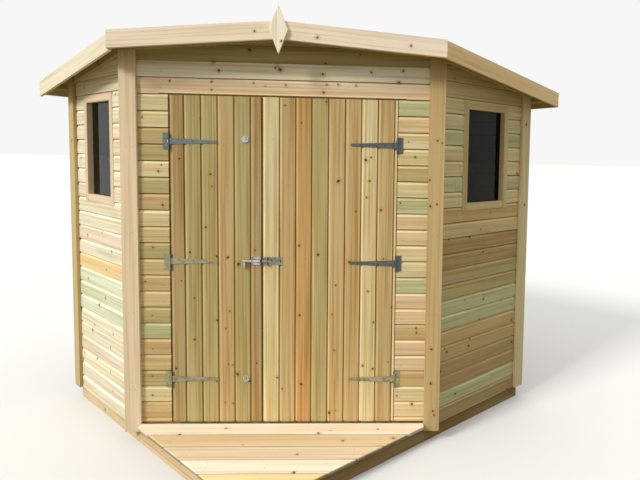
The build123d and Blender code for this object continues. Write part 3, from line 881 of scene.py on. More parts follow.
def deliver_mesh(name: str, mesh: bmesh.types.BMesh, finish: Finish, body: str, slot: str,
                 *nodes: str) -> None:
    """Make a mesh an object with a finish that rides on a body.

    Args:
        name: the object's name.
        mesh: its mesh, which is freed.
        finish: its finish.
        body: the body that it rides on.
        slot: not used.
        nodes: the CAD nodes that it replaces.
    """
    data = bpy.data.meshes.new(name)
    mesh.to_mesh(data)
    mesh.free()
    data.materials.append(finish.material())
    piece = bpy.data.objects.new(name, data)
    bpy.context.scene.collection.objects.link(piece)
    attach(piece, body)
    if nodes:
        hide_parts(*nodes)
    LOG.info("%s: %d faces on %s", name, len(data.polygons), body)


def paint_node(node: str, finish: Finish) -> None:
    """Give a CAD node its finish.

    Args:
        node: name of the node.
        finish: the finish.
    """
    data = bpy.data.objects[node].data
    data.materials.clear()
    data.materials.append(finish.material())
    LOG.info("%s: finished as %s", node, finish.name)


def front_of(node: str, across: float, height: float) -> Vector:
    """Find where a CAD node's front stands.

    Args:
        node: name of the node.
        across: place across the doorway.
        height: height over the ground.

    Returns:
        The place on its front.
    """
    mesh = bmesh.new()
    mesh.from_mesh(bpy.data.objects[node].data)
    place = BVHTree.FromBMesh(mesh).ray_cast(Vector((across, -BEYOND, height)), BACK)[0]
    mesh.free()
    if place is None:
        raise ValueError(f"{node} has no front at {across:.3f}, {height:.3f}")
    return place


def roof_cuts(drop: float) -> list[Cut]:
    """Read the slopes of the roof from the two roof panels.

    Args:
        drop: how far the cuts lie under the panels' underside.

    Returns:
        A cut along each slope.
    """
    cuts = []
    for node in ("roof_panel_left", "roof_panel_right"):
        lowest: dict[tuple[float, float], Vector] = {}
        for vert in bpy.data.objects[node].data.vertices:
            key = (round(vert.co.x, 3), round(vert.co.y, 3))
            if key not in lowest or vert.co.z < lowest[key].z:
                lowest[key] = vert.co.copy()
        first, second, third = list(lowest.values())[:3]
        normal = (second - first).cross(third - first).normalized()
        cuts.append(Cut(first - UP * drop, normal if normal.z > 0 else -normal))
    return cuts


@dataclass(frozen=True)
class Shiplap:
    """Section of a shiplap board.

    The cove runs along the upper edge, and the tongue runs up behind the next board.
    """

    cover: float = 0.091
    thickness: float = 0.012
    cove_height: float = 0.014
    cove_depth: float = 0.007
    cove_segments: int = 4
    cove_sag: float = 0.45
    gap: float = 0.0042
    tongue_thickness: float = 0.0035
    # The tongue is darkened by this much: painted shade in the gap between courses
    tongue_shade: float = -2.4
    lip: float = 0.0008

    def board(self, start: float, end: float, low: float, high: float) -> bmesh.types.BMesh:
        """Make one board.

        Args:
            start: place of its near end along the wall.
            end: place of its far end.
            low: its lower edge.
            high: the lower edge of the board above.

        Returns:
            The board, with its face on the plane of X and Y.
        """
        stretch = self.cove_height / self.cove_depth
        top = high - self.gap
        mesh = block((start, low, -self.thickness * stretch), (end, top, 0.0))
        shoulder = [edge for edge in mesh.edges
                    if all(vert.co.y > top - CLOSE and vert.co.z > -CLOSE for vert in edge.verts)]
        bmesh.ops.bevel(mesh, geom=shoulder, offset=self.cove_height, segments=self.cove_segments,
                        profile=0.5, affect="EDGES", material=-1)
        self.hollow(mesh, top)
        bmesh.ops.scale(mesh, verts=mesh.verts, vec=(1.0, 1.0, 1 / stretch))
        foot = [edge for edge in mesh.edges
                if all(vert.co.y < low + CLOSE and vert.co.z > -CLOSE for vert in edge.verts)]
        bmesh.ops.bevel(mesh, geom=foot, offset=self.lip, segments=1, profile=0.5, affect="EDGES",
                        material=-1)
        tongue = block((start, top - self.gap, -self.thickness),
                       (end, high + self.gap, -self.thickness + self.tongue_thickness))
        # Painted shade: the tongue, seen in the gap, is darkened
        shade = tongue.verts.layers.float.new("worked")
        for vert in tongue.verts:
            vert[shade] = self.tongue_shade
        join(mesh, tongue)
        return mesh

    def hollow(self, mesh: bmesh.types.BMesh, top: float) -> None:
        """Turn the rounded upper edge over its chord into a shallow cove, marked lighter as planed wood and
        painted highlight.

        Args:
            mesh: the board.
            top: its upper edge.
        """
        worked = mesh.verts.layers.float.new("worked")
        out = Vector((0.0, DIAGONAL, DIAGONAL))
        chord = Vector((0.0, top, -self.cove_height))
        rounded = [vert for vert in mesh.verts if (vert.co - chord).dot(out) > CLOSE]
        turn = Matrix.Translation(chord) @ Matrix.Scale(-self.cove_sag, 4, out) @ Matrix.Translation(-chord)
        bmesh.ops.transform(mesh, matrix=turn, verts=rounded)
        for vert in rounded:
            vert[worked] = 1.0


class TimberPile:
    """Boards of one finish, gathered in one mesh, each with its own grain and tone."""

    BRIGHTNESS = 0.05
    LOG_LENGTH = 40.0
    LOGS = 20
    HEART_REACH = 0.11
    HEART_NEAR = 0.3
    # Gain of the marks that lighten the coves (planed wood and painted highlight) and darken the gaps
    # (painted shade)
    PLANED_AND_PAINTED_GAIN = 0.22

    def __init__(self, name: str, finish: TimberFinish, seed: int) -> None:
        """Start an empty pile with its own row of random draws.

        Args:
            name: name of the piece.
            finish: finish of the boards.
            seed: seed of the random draws.
        """
        self.name = name
        self.finish = finish
        self.mesh = bmesh.new()
        self.random = random.Random(seed)

    def shift(self) -> Vector:
        """Draw where in a log the next board is sawn from.

        Returns:
            The place along, across and off the heart of the log.
        """
        reach = self.HEART_REACH
        along = self.random.uniform(0, self.LOG_LENGTH)
        across = self.random.uniform(-reach, reach) + self.random.randrange(self.LOGS)
        return Vector((along, across, self.random.uniform(self.HEART_NEAR, 1.0) * reach))

    def lay(self, board: bmesh.types.BMesh, face: Face, tone: Tone, cuts: Iterable[Cut] = (),
            shift: Vector | None = None, placed: bool = False, light: float = 1.0) -> None:
        """Cut a board, give it its grain and tone, and add it.

        Args:
            board: the board, which is freed.
            face: the face that it lies on, whose X is along its grain.
            tone: its colour.
            cuts: cuts in the frame.
            shift: place in the log, where it is shared with another board.
            placed: whether the board already stands in the frame.
            light: how much lighter than its tone it is.
        """
        place = face.matrix()
        if not placed:
            bmesh.ops.transform(board, matrix=place, verts=board.verts)
        for cut in cuts:
            slice_off(board, cut)
        if not board.faces:
            board.free()
            return
        heart = self.shift() if shift is None else shift
        light *= 1 + self.random.uniform(-self.BRIGHTNESS, self.BRIGHTNESS)
        colour = Vector(tone.value[:3]) * light
        grain_layer = board.verts.layers.float_vector.new("grain")
        tone_layer = board.verts.layers.float_color.new("tone")
        worked = board.verts.layers.float.get("worked")
        back = place.inverted()
        for vert in board.verts:
            vert[grain_layer] = back @ vert.co + heart
            # Coves get lighter and gaps darker: painted highlight and painted shade
            planed_and_painted_factor = 1 + self.PLANED_AND_PAINTED_GAIN * (vert[worked] if worked else 0.0)
            vert[tone_layer] = (*(colour * planed_and_painted_factor), 1.0)
        if worked:
            board.verts.layers.float.remove(worked)
        join(self.mesh, board)

    def dress(self, node: str, left: Tone, right: Tone | None = None, radius: float = 0.002) -> None:
        """Copy the solids of a CAD node as eased timbers with grain along each.

        Args:
            node: name of the node.
            left: tone of the solids on the left of the plan.
            right: tone of those on the right, where it is another.
            radius: how far their edges are rounded.
        """
        for solid in node_solids(node):
            face = grain_face(solid)
            tone = left if face.origin.x < 0 or right is None else right
            ease(solid, radius)
            self.lay(solid, face, tone, placed=True)

    def deliver(self, body: str, slot: str, *nodes: str) -> None:
        """Make the pile one piece that rides on a body and stands for CAD nodes."""
        deliver_mesh(self.name, self.mesh, self.finish, body, slot, *nodes)


@dataclass
class SawnSlab:
    """A CAD slab of the cabin sawn into boards."""

    name: str
    node: str
    slot: str
    direction: Vector
    pitch: float
    gap: float
    finish: TimberFinish
    rows: str
    seed: int
    bare: float = 0.0
    edge_round: float = 0.001

    def build(self) -> None:
        """Saw the slab from the near edge on, past the strip that is left bare."""
        pile = TimberPile(self.name, self.finish, self.seed)
        letters = tones(self.rows)
        along = self.direction.cross(UP).normalized()
        for solid in node_solids(self.node):
            reach = [vert.co.dot(self.direction) for vert in solid.verts]
            for index in range(math.ceil((max(reach) - min(reach)) / self.pitch)):
                low = min(reach) + self.bare + index * self.pitch
                board = solid.copy()
                slice_off(board, Cut(self.direction * low, -self.direction))
                slice_off(board, Cut(self.direction * (low + self.pitch - self.gap), self.direction))
                if not board.faces:
                    board.free()
                    continue
                ease(board, self.edge_round, 1)
                face = Face(centre(board), along, UP.cross(along))
                pile.lay(board, face, letters[index % len(letters)], placed=True)
            solid.free()
        pile.deliver("cabin", self.slot, self.node)


@dataclass
class Heads:
    """Round heads of screws or nails of one finish on one body, gathered in one mesh."""

    name: str
    finish: Finish
    body: str
    slot: str
    radius: float = 0.0021
    height: float = 0.0006
    sides: int = 8
    dimple: float = 0.0
    crown: float = 0.62
    rim: float = 0.2
    mesh: bmesh.types.BMesh = field(default_factory=bmesh.new)

    def drive(self, place: Vector, out: Vector) -> None:
        """Add a head on a face.

        Args:
            place: where it stands on the face.
            out: direction out of the face.
        """
        verts = bmesh.ops.create_cone(self.mesh, cap_ends=True, segments=self.sides, radius1=self.radius,
                                      radius2=self.radius * self.crown, depth=self.height * 2)["verts"]
        if self.dimple:
            caps = {face for vert in verts for face in vert.link_faces if face.normal.z > STRAIGHT_UP}
            bmesh.ops.inset_individual(self.mesh, faces=list(caps), thickness=self.radius * self.rim,
                                       depth=-self.dimple)
            verts = list({*verts, *(vert for face in caps for vert in face.verts)})
        turn = out.to_track_quat("Z", "Y").to_matrix().to_4x4()
        bmesh.ops.transform(self.mesh, matrix=Matrix.Translation(place) @ turn, verts=verts)

    def deliver(self) -> None:
        """Make the heads one piece."""
        deliver_mesh(self.name, self.mesh, self.finish, self.body, self.slot)


@dataclass(frozen=True)
class Opening:
    """A rectangular hole in a wall, in distances along the wall and heights in the frame."""

    left: float
    right: float
    low: float
    high: float

    def holds(self, along: float, height: float) -> bool:
        """Whether a place on the wall lies in the hole."""
        return self.left < along < self.right and self.low < height < self.high


@dataclass(frozen=True)
class Header:
    """Stretch of the course over the doors whose lower half is lighter and whose lower edge is raised, with a
    painted highlight on that edge.
    """

    row: int
    left: float
    right: float
    height: float = 0.046
    rise: float = 0.005
    lip: float = 0.005
    slope: float = 0.030
    lower_half_light: float = 1.08
    # Painted highlight along the raised lower edge
    lip_highlight: float = 1.3

    def parts(self, low: float, face: Face) -> list[tuple[list[Cut], float]]:
        """Split the course.

        Args:
            low: lower edge of the course.
            face: face of the wall.

        Returns:
            The cuts and the lightness of each part of the course.
        """
        foot = face.origin + face.along * self.left + UP * low
        slant = Cut(foot, (face.along * self.height - UP * self.slope).normalized())
        end = Cut(face.origin + face.along * self.right, face.along)
        line = Cut(UP * (low + self.height), UP)
        raised = Cut(UP * (low + self.rise), UP)
        lip = Cut(UP * (low + self.rise + self.lip), UP)
        notched = [slant.turned(), end]
        return [
            ([line.turned()], 1.0), ([line, slant], 1.0), ([line, end.turned()], 1.0),
            ([line, *notched, lip.turned()], self.lower_half_light),
            # The strip along the raised edge carries a painted highlight
            ([*notched, lip, raised.turned()], self.lip_highlight),
        ]


@dataclass
class CladWall:
    """A wall of shiplap boards, seen from outside from its left corner to its right one."""

    name: str
    nodes: tuple[str, ...]
    start: Vector
    end: Vector
    ends: tuple[Cut, ...]
    low: float
    first_line: float
    rows: str
    slot: str
    seed: int
    openings: tuple[Opening, ...] = ()
    joints: dict[int, float] = field(default_factory=dict)
    far_rows: str = ""
    header: Header | None = None
    finish: TimberFinish = Finishes.CLADDING
    nails: tuple[float, ...] = ()
    nail_height: float = 0.030
    nail_margin: float = 0.010
    section: Shiplap = field(default_factory=Shiplap)
    top: float = 2.5
    slack: float = 0.002
    joint_gap: float = 0.0015

    @property
    def length(self) -> float:
        """Length of the wall from corner to corner."""
        return (self.end - self.start).length

    @property
    def face(self) -> Face:
        """The wall's outer face, with its origin on the ground below its left corner."""
        return Face(self.start.copy(), (self.end - self.start).normalized(), UP)

    def courses(self) -> list[tuple[float, float]]:
        """Work out the courses from the bottom up.

        Returns:
            The lower and the upper edge of each.
        """
        edges = [self.low]
        line = self.first_line
        while line < self.top:
            edges.append(line)
            line += self.section.cover
        return list(zip(edges, edges[1:]))

    def stretches(self, low: float, high: float) -> list[tuple[float, float, list[Cut]]]:
        """Cut one course round the openings.

        Args:
            low: lower edge of the course.
            high: upper edge of the course.

        Returns:
            The start, end and cuts of each part of the course.
        """
        parts: list[tuple[float, float, list[Cut]]] = [(0.0, self.length, [])]
        for hole in self.openings:
            if low >= hole.high - self.slack or high <= hole.low + self.slack:
                continue
            parts = [(0.0, hole.left, []), (hole.right, self.length, [])]
            if low < hole.low - CLOSE:
                parts.append((hole.left, hole.right, [Cut(UP * hole.low, UP)]))
            if high > hole.high + CLOSE:
                parts.append((hole.left, hole.right, [Cut(UP * hole.high, -UP)]))
        return parts

    def build(self, roof: list[Cut]) -> None:
        """Lay and nail every board of the wall.

        Args:
            roof: the cuts under the roof.
        """
        pile = TimberPile(self.name, self.finish, self.seed)
        cuts = [*self.ends, *roof]
        for row, (low, high) in enumerate(self.courses()):
            if self.header and row == self.header.row:
                self.lay_header(pile, low, high, cuts)
            else:
                self.lay_course(pile, row, low, high, cuts)
        pile.deliver("cabin", self.slot, *self.nodes)
        self.nail_up(cuts)

    def tone(self, row: int, letters: str) -> Tone:
        """Tone of a course, from a row of letters that starts again at its end."""
        return TONE_LETTERS[letters[row % len(letters)]]

    def lay_header(self, pile: TimberPile, low: float, high: float, cuts: list[Cut]) -> None:
        """Lay the course over the doors in its parts.

        Args:
            pile: the wall's boards.
            low: lower edge of the course.
            high: upper edge of the course.
            cuts: the cuts at the wall's ends and under the roof.
        """
        tone, shift = self.tone(self.header.row, self.rows), pile.shift()
        # Every course draws twice, so that the others keep their figure whatever this one is cut into
        pile.shift()
        for own, light in self.header.parts(low, self.face):
            board = self.section.board(0.0, self.length, low, high)
            pile.lay(board, self.face, tone, cuts + own, shift, light=light)

    def lay_course(self, pile: TimberPile, row: int, low: float, high: float, cuts: list[Cut]) -> None:
        """Lay one course, which a joint or an opening may part.

        Args:
            pile: the wall's boards.
            row: number of the course from the bottom.
            low: lower edge of the course.
            high: upper edge of the course.
            cuts: the cuts at the wall's ends and under the roof.
        """
        tone, shift = self.tone(row, self.rows), pile.shift()
        far_shift = pile.shift()
        joint = self.joints.get(row, -1.0)
        for part, (start, end, own) in enumerate(self.stretches(low, high)):
            if start < joint < end:
                board = self.section.board(joint + self.joint_gap, end, low, high)
                pile.lay(board, self.face, tone, cuts + own, far_shift)
                end = joint
            if part and self.far_rows:
                tone, shift = self.tone(row, self.far_rows), far_shift
            pile.lay(self.section.board(start, end, low, high), self.face, tone, cuts + own, shift)

    def nail_up(self, cuts: list[Cut]) -> None:
        """Nail every course to the studs.

        Args:
            cuts: the cuts at the wall's ends and under the roof.
        """
        heads = Heads(f"{self.name}_nails", Finishes.NAIL, "cabin", self.slot)
        face = self.face
        for low, high in self.courses():
            height = low + self.nail_height
            for along in self.nails:
                place = face.origin + face.along * along + UP * height
                inside = all((place - cut.point).dot(cut.normal) < -self.nail_margin for cut in cuts)
                hole = any(opening.holds(along, height) for opening in self.openings)
                if inside and not hole and high - low > self.nail_height + self.nail_margin:
                    heads.drive(place, face.out)
        heads.deliver()


@dataclass
class Walls:
    """The five clad walls on the cut square plan."""

    front_low: float = 0.006
    side_low: float = -0.031
    front_line: float = 0.0337
    left_line: float = 0.0578
    right_line: float = 0.063
    window_centre: float = 0.472
    window_width: float = 0.456
    roof_rail_depth: float = 0.040
    header_left: float = -0.684
    header_right: float = 0.670
    header_row: int = 21
    door_nail_inset: float = 0.035
    window_nail_inset: float = 0.030
    front_nail_inset: float = 0.110
    corner_nail_inset: float = 0.085
    back_nails: tuple[float, ...] = (0.510, 0.930, 1.360)

    def build(self) -> None:
        """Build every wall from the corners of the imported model."""
        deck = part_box("floor_boards")[1].z
        roof = roof_cuts(self.roof_rail_depth)
        self.front(deck, roof)
        self.sides(deck, roof)

    def front(self, deck: float, roof: list[Cut]) -> None:
        """Build the wall round the doors.

        Args:
            deck: height of the deck's top.
            roof: the cuts under the roof.
        """
        low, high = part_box("front_wall_top")
        door_left, door_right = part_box("front_wall_left")[1].x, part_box("front_wall_right")[0].x
        door = Opening(door_left - low.x, door_right - low.x, 0.0, low.z)
        CladWall(
            "front_cladding", ("front_wall_left", "front_wall_right", "front_wall_top"),
            Vector((low.x, low.y, 0.0)), Vector((high.x, low.y, 0.0)), (),
            # Course 22 is given a pale tone in both rows: painted light against the roof's shade on it
            deck + self.front_low, deck + self.front_line, "ttsvhtgvhthvhstvsvtssqcvv", "front_cladding", 11,
            (door,), far_rows="ppstpptppgssppgshsspgqcvv", finish=Finishes.FRONT,
            header=Header(self.header_row, self.header_left - low.x, self.header_right - low.x),
            nails=(door.left - self.door_nail_inset, door.right + self.door_nail_inset),
        ).build(roof)

    def sides(self, deck: float, roof: list[Cut]) -> None:
        """Build the two side walls and the two back walls.

        Args:
            deck: height of the deck's top.
            roof: the cuts under the roof.
        """
        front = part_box("front_wall_top")[0].y
        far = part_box("right_wall")[1].x
        left, right, back = Vector((-far, 0.0, 0.0)), Vector((far, 0.0, 0.0)), Vector((0.0, far, 0.0))
        front_left, front_right = Vector((-far - front, front, 0.0)), Vector((far + front, front, 0.0))
        behind_front = Cut(Vector((0.0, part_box("right_wall")[0].y, 0.0)), FRONT)
        low, left_line, right_line = deck + self.side_low, deck + self.left_line, deck + self.right_line
        side, back_side = (right - front_right).length, (back - right).length
        near, away = self.window_centre - self.window_width / 2, self.window_centre + self.window_width / 2
        sill, head = (corner.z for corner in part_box("left_window_frame"))
        side_nails = (self.front_nail_inset, near - self.window_nail_inset, away + self.window_nail_inset,
                      side - self.corner_nail_inset)
        back_nails = (self.corner_nail_inset, *self.back_nails, back_side - self.corner_nail_inset)
        CladWall(
            "right_cladding", ("right_wall",), front_right, right, (behind_front, self.mitre(right, 1.0)),
            low, right_line, "bgbbttggvvbbhtsgssgsshhh", "right_cladding", 23,
            (Opening(near, away, sill, head),),
            {1: 0.583, 6: 0.319, 7: 0.472, 11: 0.472, 15: 0.178, 16: 0.217}, nails=side_nails,
        ).build(roof)
        CladWall(
            "back_right_cladding", ("back_right_wall",), right, back,
            (self.mitre(right, -1.0), self.mitre(back, 1.0)),
            low, right_line, "svhsgtsvhbssvgts", "right_cladding", 37,
            joints={3: 1.2, 8: 0.8, 14: 1.5, 19: 0.6}, nails=back_nails,
        ).build(roof)
        CladWall(
            "back_left_cladding", ("back_left_wall",), back, left,
            (self.mitre(back, -1.0), self.mitre(left, 1.0)),
            low, left_line, "sshvgsthssvcpsgh", "left_cladding", 41,
            joints={2: 0.9, 7: 1.4, 12: 0.7, 18: 1.3}, nails=back_nails,
        ).build(roof)
        CladWall(
            "left_cladding", ("left_wall",), left, front_left, (self.mitre(left, -1.0), behind_front),
            low, left_line, "crcrccmmmacrccrcccrccccc", "left_cladding", 53,
            (Opening(side - away, side - near, sill, head),),
            nails=tuple(side - place for place in side_nails),
        ).build(roof)

    def mitre(self, place: Vector, sense: float) -> Cut:
        """Upright cut through a corner of the plan, for the wall that ends there (1) or starts there (-1)."""
        return Cut(place, place.cross(UP).normalized() * -sense)


@dataclass
class DoorLeaf:
    """One of the double doors: upright boards on three ledges."""

    side: Side
    lines: tuple[float, ...]
    rows: str
    seed: int
    nail_rise: float = 0.022
    nail_shares: tuple[float, float] = (0.42, 0.68)
    ledge_round: float = 0.003
    section: Shiplap = field(default_factory=Shiplap)

    def build(self) -> None:
        """Lay the leaf's boards and ledges."""
        body = f"{self.side.value}_door"
        low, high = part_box(f"{body}_boards")
        face = Face(Vector((0.0, low.y, low.z)), UP, -RIGHT)
        pile = TimberPile(f"{body}_planks", Finishes.DOOR, self.seed)
        cut = Cut(RIGHT * low.x, -RIGHT)
        edges = (low.x, *self.lines, high.x)
        for left, right, tone in zip(edges, edges[1:], tones(self.rows)):
            pile.lay(self.section.board(0.0, high.z - low.z, -right, -left), face, tone, [cut])
        pile.deliver(body, body, f"{body}_boards")
        self.nail_up(body, edges, low.y)
        ledges = TimberPile(f"{body}_bars", Finishes.LEDGE, self.seed + 1)
        ledges.dress(f"{body}_ledges", Tone.HONEY, radius=self.ledge_round)
        ledges.deliver(body, body, f"{body}_ledges")

    def nail_up(self, body: str, edges: Sequence[float], front: float) -> None:
        """Nail every board to the ledges.

        Args:
            body: the leaf's body.
            edges: places of the boards' edges across the doorway.
            front: place of the boards' face along Y.
        """
        heads = Heads(f"{body}_nails", Finishes.NAIL, body, body)
        for solid in node_solids(f"{body}_ledges"):
            middle = centre(solid)
            solid.free()
            for left, right in zip(edges, edges[1:]):
                for share, rise in zip(self.nail_shares, (-self.nail_rise, self.nail_rise)):
                    heads.drive(Vector((left + (right - left) * share, front, middle.z + rise)), FRONT)
        heads.deliver()


@dataclass
class Window:
    """A fixed window: two rings of bars with the pane between them."""

    side: Side
    tone: Tone
    seed: int
    width: float = 0.456
    bar: float = 0.045
    edge_round: float = 0.0015

    @property
    def out(self) -> Vector:
        """Direction out of the wall that the window stands in."""
        return Vector((self.side.sense * DIAGONAL, -DIAGONAL, 0.0))

    def build(self) -> None:
        """Lay the bars in front of the pane and behind it, and finish the pane."""
        node, pane = f"{self.side.value}_window_frame", f"{self.side.value}_window_glass"
        low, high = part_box(node)
        along = UP.cross(self.out)
        solid = node_solids(node)[0]
        middle = centre(solid).dot(along)
        solid.free()
        back, front = self.depths(node)
        pane_back, pane_front = self.depths(pane)
        origin = self.out * front + along * middle + UP * low.z
        upright, level = Face(origin, UP, -along), Face(origin, along, UP)
        pile = TimberPile(f"{self.side.value}_window_bars", Finishes.TRIM, self.seed)
        height, half, inner = high.z - low.z, self.width / 2, self.width / 2 - self.bar
        for near, far in ((0.0, front - pane_front), (front - pane_back, front - back)):
            for edge in (-half, inner):
                self.lay_bar(pile, upright, (0.0, edge, -far), (height, edge + self.bar, -near))
            for edge in (0.0, height - self.bar):
                self.lay_bar(pile, level, (-inner, edge, -far), (inner, edge + self.bar, -near))
        pile.deliver("cabin", "window_frame", node)
        paint_node(pane, Finishes.GLASS)

    def lay_bar(self, pile: TimberPile, face: Face, low: Sequence[float], high: Sequence[float]) -> None:
        """Lay one bar.

        Args:
            pile: the window's bars.
            face: the face that it lies on.
            low: its lowest corner on that face.
            high: its highest corner.
        """
        bar = block(low, high)
        ease(bar, self.edge_round)
        pile.lay(bar, face, self.tone)

    def depths(self, node: str) -> tuple[float, float]:
        """Back and front of a CAD node along the wall's outward direction."""
        spans = [vert.co.dot(self.out) for vert in bpy.data.objects[node].data.vertices]
        return min(spans), max(spans)


@dataclass
class Carcass:
    """Base, floor, deck, framing and corner trims."""

    floor_pitch: float = 0.120
    board_gap: float = 0.0015
    threshold_gap: float = 0.024
    trim_centre: float = 0.840
    trim_nails: tuple[float, ...] = (0.201, 0.640, 1.092, 1.560, 1.960)
    trim_nail_spread: float = 0.015
    framing_round: float = 0.0015
    deck_round: float = 0.006
    deck_gap: float = 0.003
    # The deck boards' sides are darkened by this much: painted shade in the gaps
    deck_edge_shade: float = -2.6
    deck_nail_spread: float = 0.022
    deck_nail_edge: float = 0.025

    def build(self) -> None:
        """Dress the timbers of the carcass."""
        base = TimberPile("base_timbers", Finishes.SAWN, 101)
        # The right rails take a darker tone: painted shade on the side away from the lamp
        base.dress("base_rails", Tone.PINK, Tone.EARTH)
        base.dress("floor_joists", Tone.OLIVE)
        base.deliver("cabin", "base_timber", "base_rails", "floor_joists")
        self.deck()
        SawnSlab("floor_planks", "floor_boards", "floor_board", BACK, self.floor_pitch, self.board_gap,
                 Finishes.DECK, "shscshhs", 107, self.threshold_gap).build()
        self.trims()
        framing = TimberPile("wall_framing", Finishes.SAWN, 113)
        members = ("wall_studs", "wall_rails", "top_plates", "door_stops", "rafters", "ridge_beam",
                   "roof_rails")
        for node in members:
            framing.dress(node, Tone.HONEY, radius=self.framing_round)
        framing.deliver("cabin", "framing", *members)

    def deck(self) -> None:
        """Lay and nail the deck, whose corners end at the trims beside the doors."""
        pile = TimberPile("deck_planks", Finishes.DECK, 103)
        heads = Heads("deck_nails", Finishes.NAIL, "cabin", "deck_board")
        letters = tones("pracq")
        between = min(abs(vert.co.x) for vert in bpy.data.objects["front_trims"].data.vertices)
        for index, board in enumerate(node_solids("deck_boards")):
            for side in Side:
                slice_off(board, Cut(side.out * between, side.out))
            nose = min(vert.co.y for vert in board.verts) + self.deck_gap
            slice_off(board, Cut(BACK * nose, FRONT))
            face = Face(centre(board), RIGHT, BACK)
            top = max(vert.co.z for vert in board.verts)
            self.nail_deck(board, heads, top)
            ease(board, self.deck_round)
            # Painted shade: each board's sides darken below its rounded top edge
            shade = board.verts.layers.float.new("worked")
            for vert in board.verts:
                if vert.co.z < top - self.deck_round / 2:
                    vert[shade] = self.deck_edge_shade
            pile.lay(board, face, letters[index % len(letters)], placed=True)
        pile.deliver("cabin", "deck_board", "deck_boards")
        heads.deliver()

    def nail_deck(self, board: bmesh.types.BMesh, heads: Heads, top: float) -> None:
        """Nail a deck board at its ends and in its middle.

        Args:
            board: the board.
            heads: the deck's nails.
            top: height of its upper face.
        """
        upper = [vert.co for vert in board.verts if vert.co.z > top - CLOSE]
        middle = (min(co.y for co in upper) + max(co.y for co in upper)) / 2
        reach = min(max(co.x for co in upper if (co.y > middle) == back) for back in (False, True))
        if reach <= self.deck_nail_edge * 3:
            return
        for across in (-reach + self.deck_nail_edge, 0.0, reach - self.deck_nail_edge):
            for spread in (-self.deck_nail_spread, self.deck_nail_spread):
                heads.drive(Vector((across, middle + spread, top)), UP)

    def trims(self) -> None:
        """Fix the corner boards and nail the two beside the doors."""
        front = TimberPile("front_corner_boards", Finishes.FRONT_TRIM, 108)
        front.dress("front_trims", Tone.ROSE, Tone.TAN)
        front.deliver("cabin", "trim", "front_trims")
        trims = TimberPile("corner_boards", Finishes.TRIM, 109)
        trims.dress("left_corner_trims", Tone.HONEY)
        trims.dress("right_corner_trims", Tone.STRAW)
        trims.dress("back_corner_trims", Tone.HONEY)
        trims.deliver("cabin", "trim", "left_corner_trims", "right_corner_trims", "back_corner_trims")
        heads = Heads("trim_nails", Finishes.NAIL, "cabin", "trim")
        deck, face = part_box("floor_boards")[1].z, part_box("front_trims")[0].y
        for side in Side:
            for height in self.trim_nails:
                for spread in (-self.trim_nail_spread, self.trim_nail_spread):
                    across = side.sense * self.trim_centre + spread
                    heads.drive(Vector((across, face, deck + height)), FRONT)
        heads.deliver()


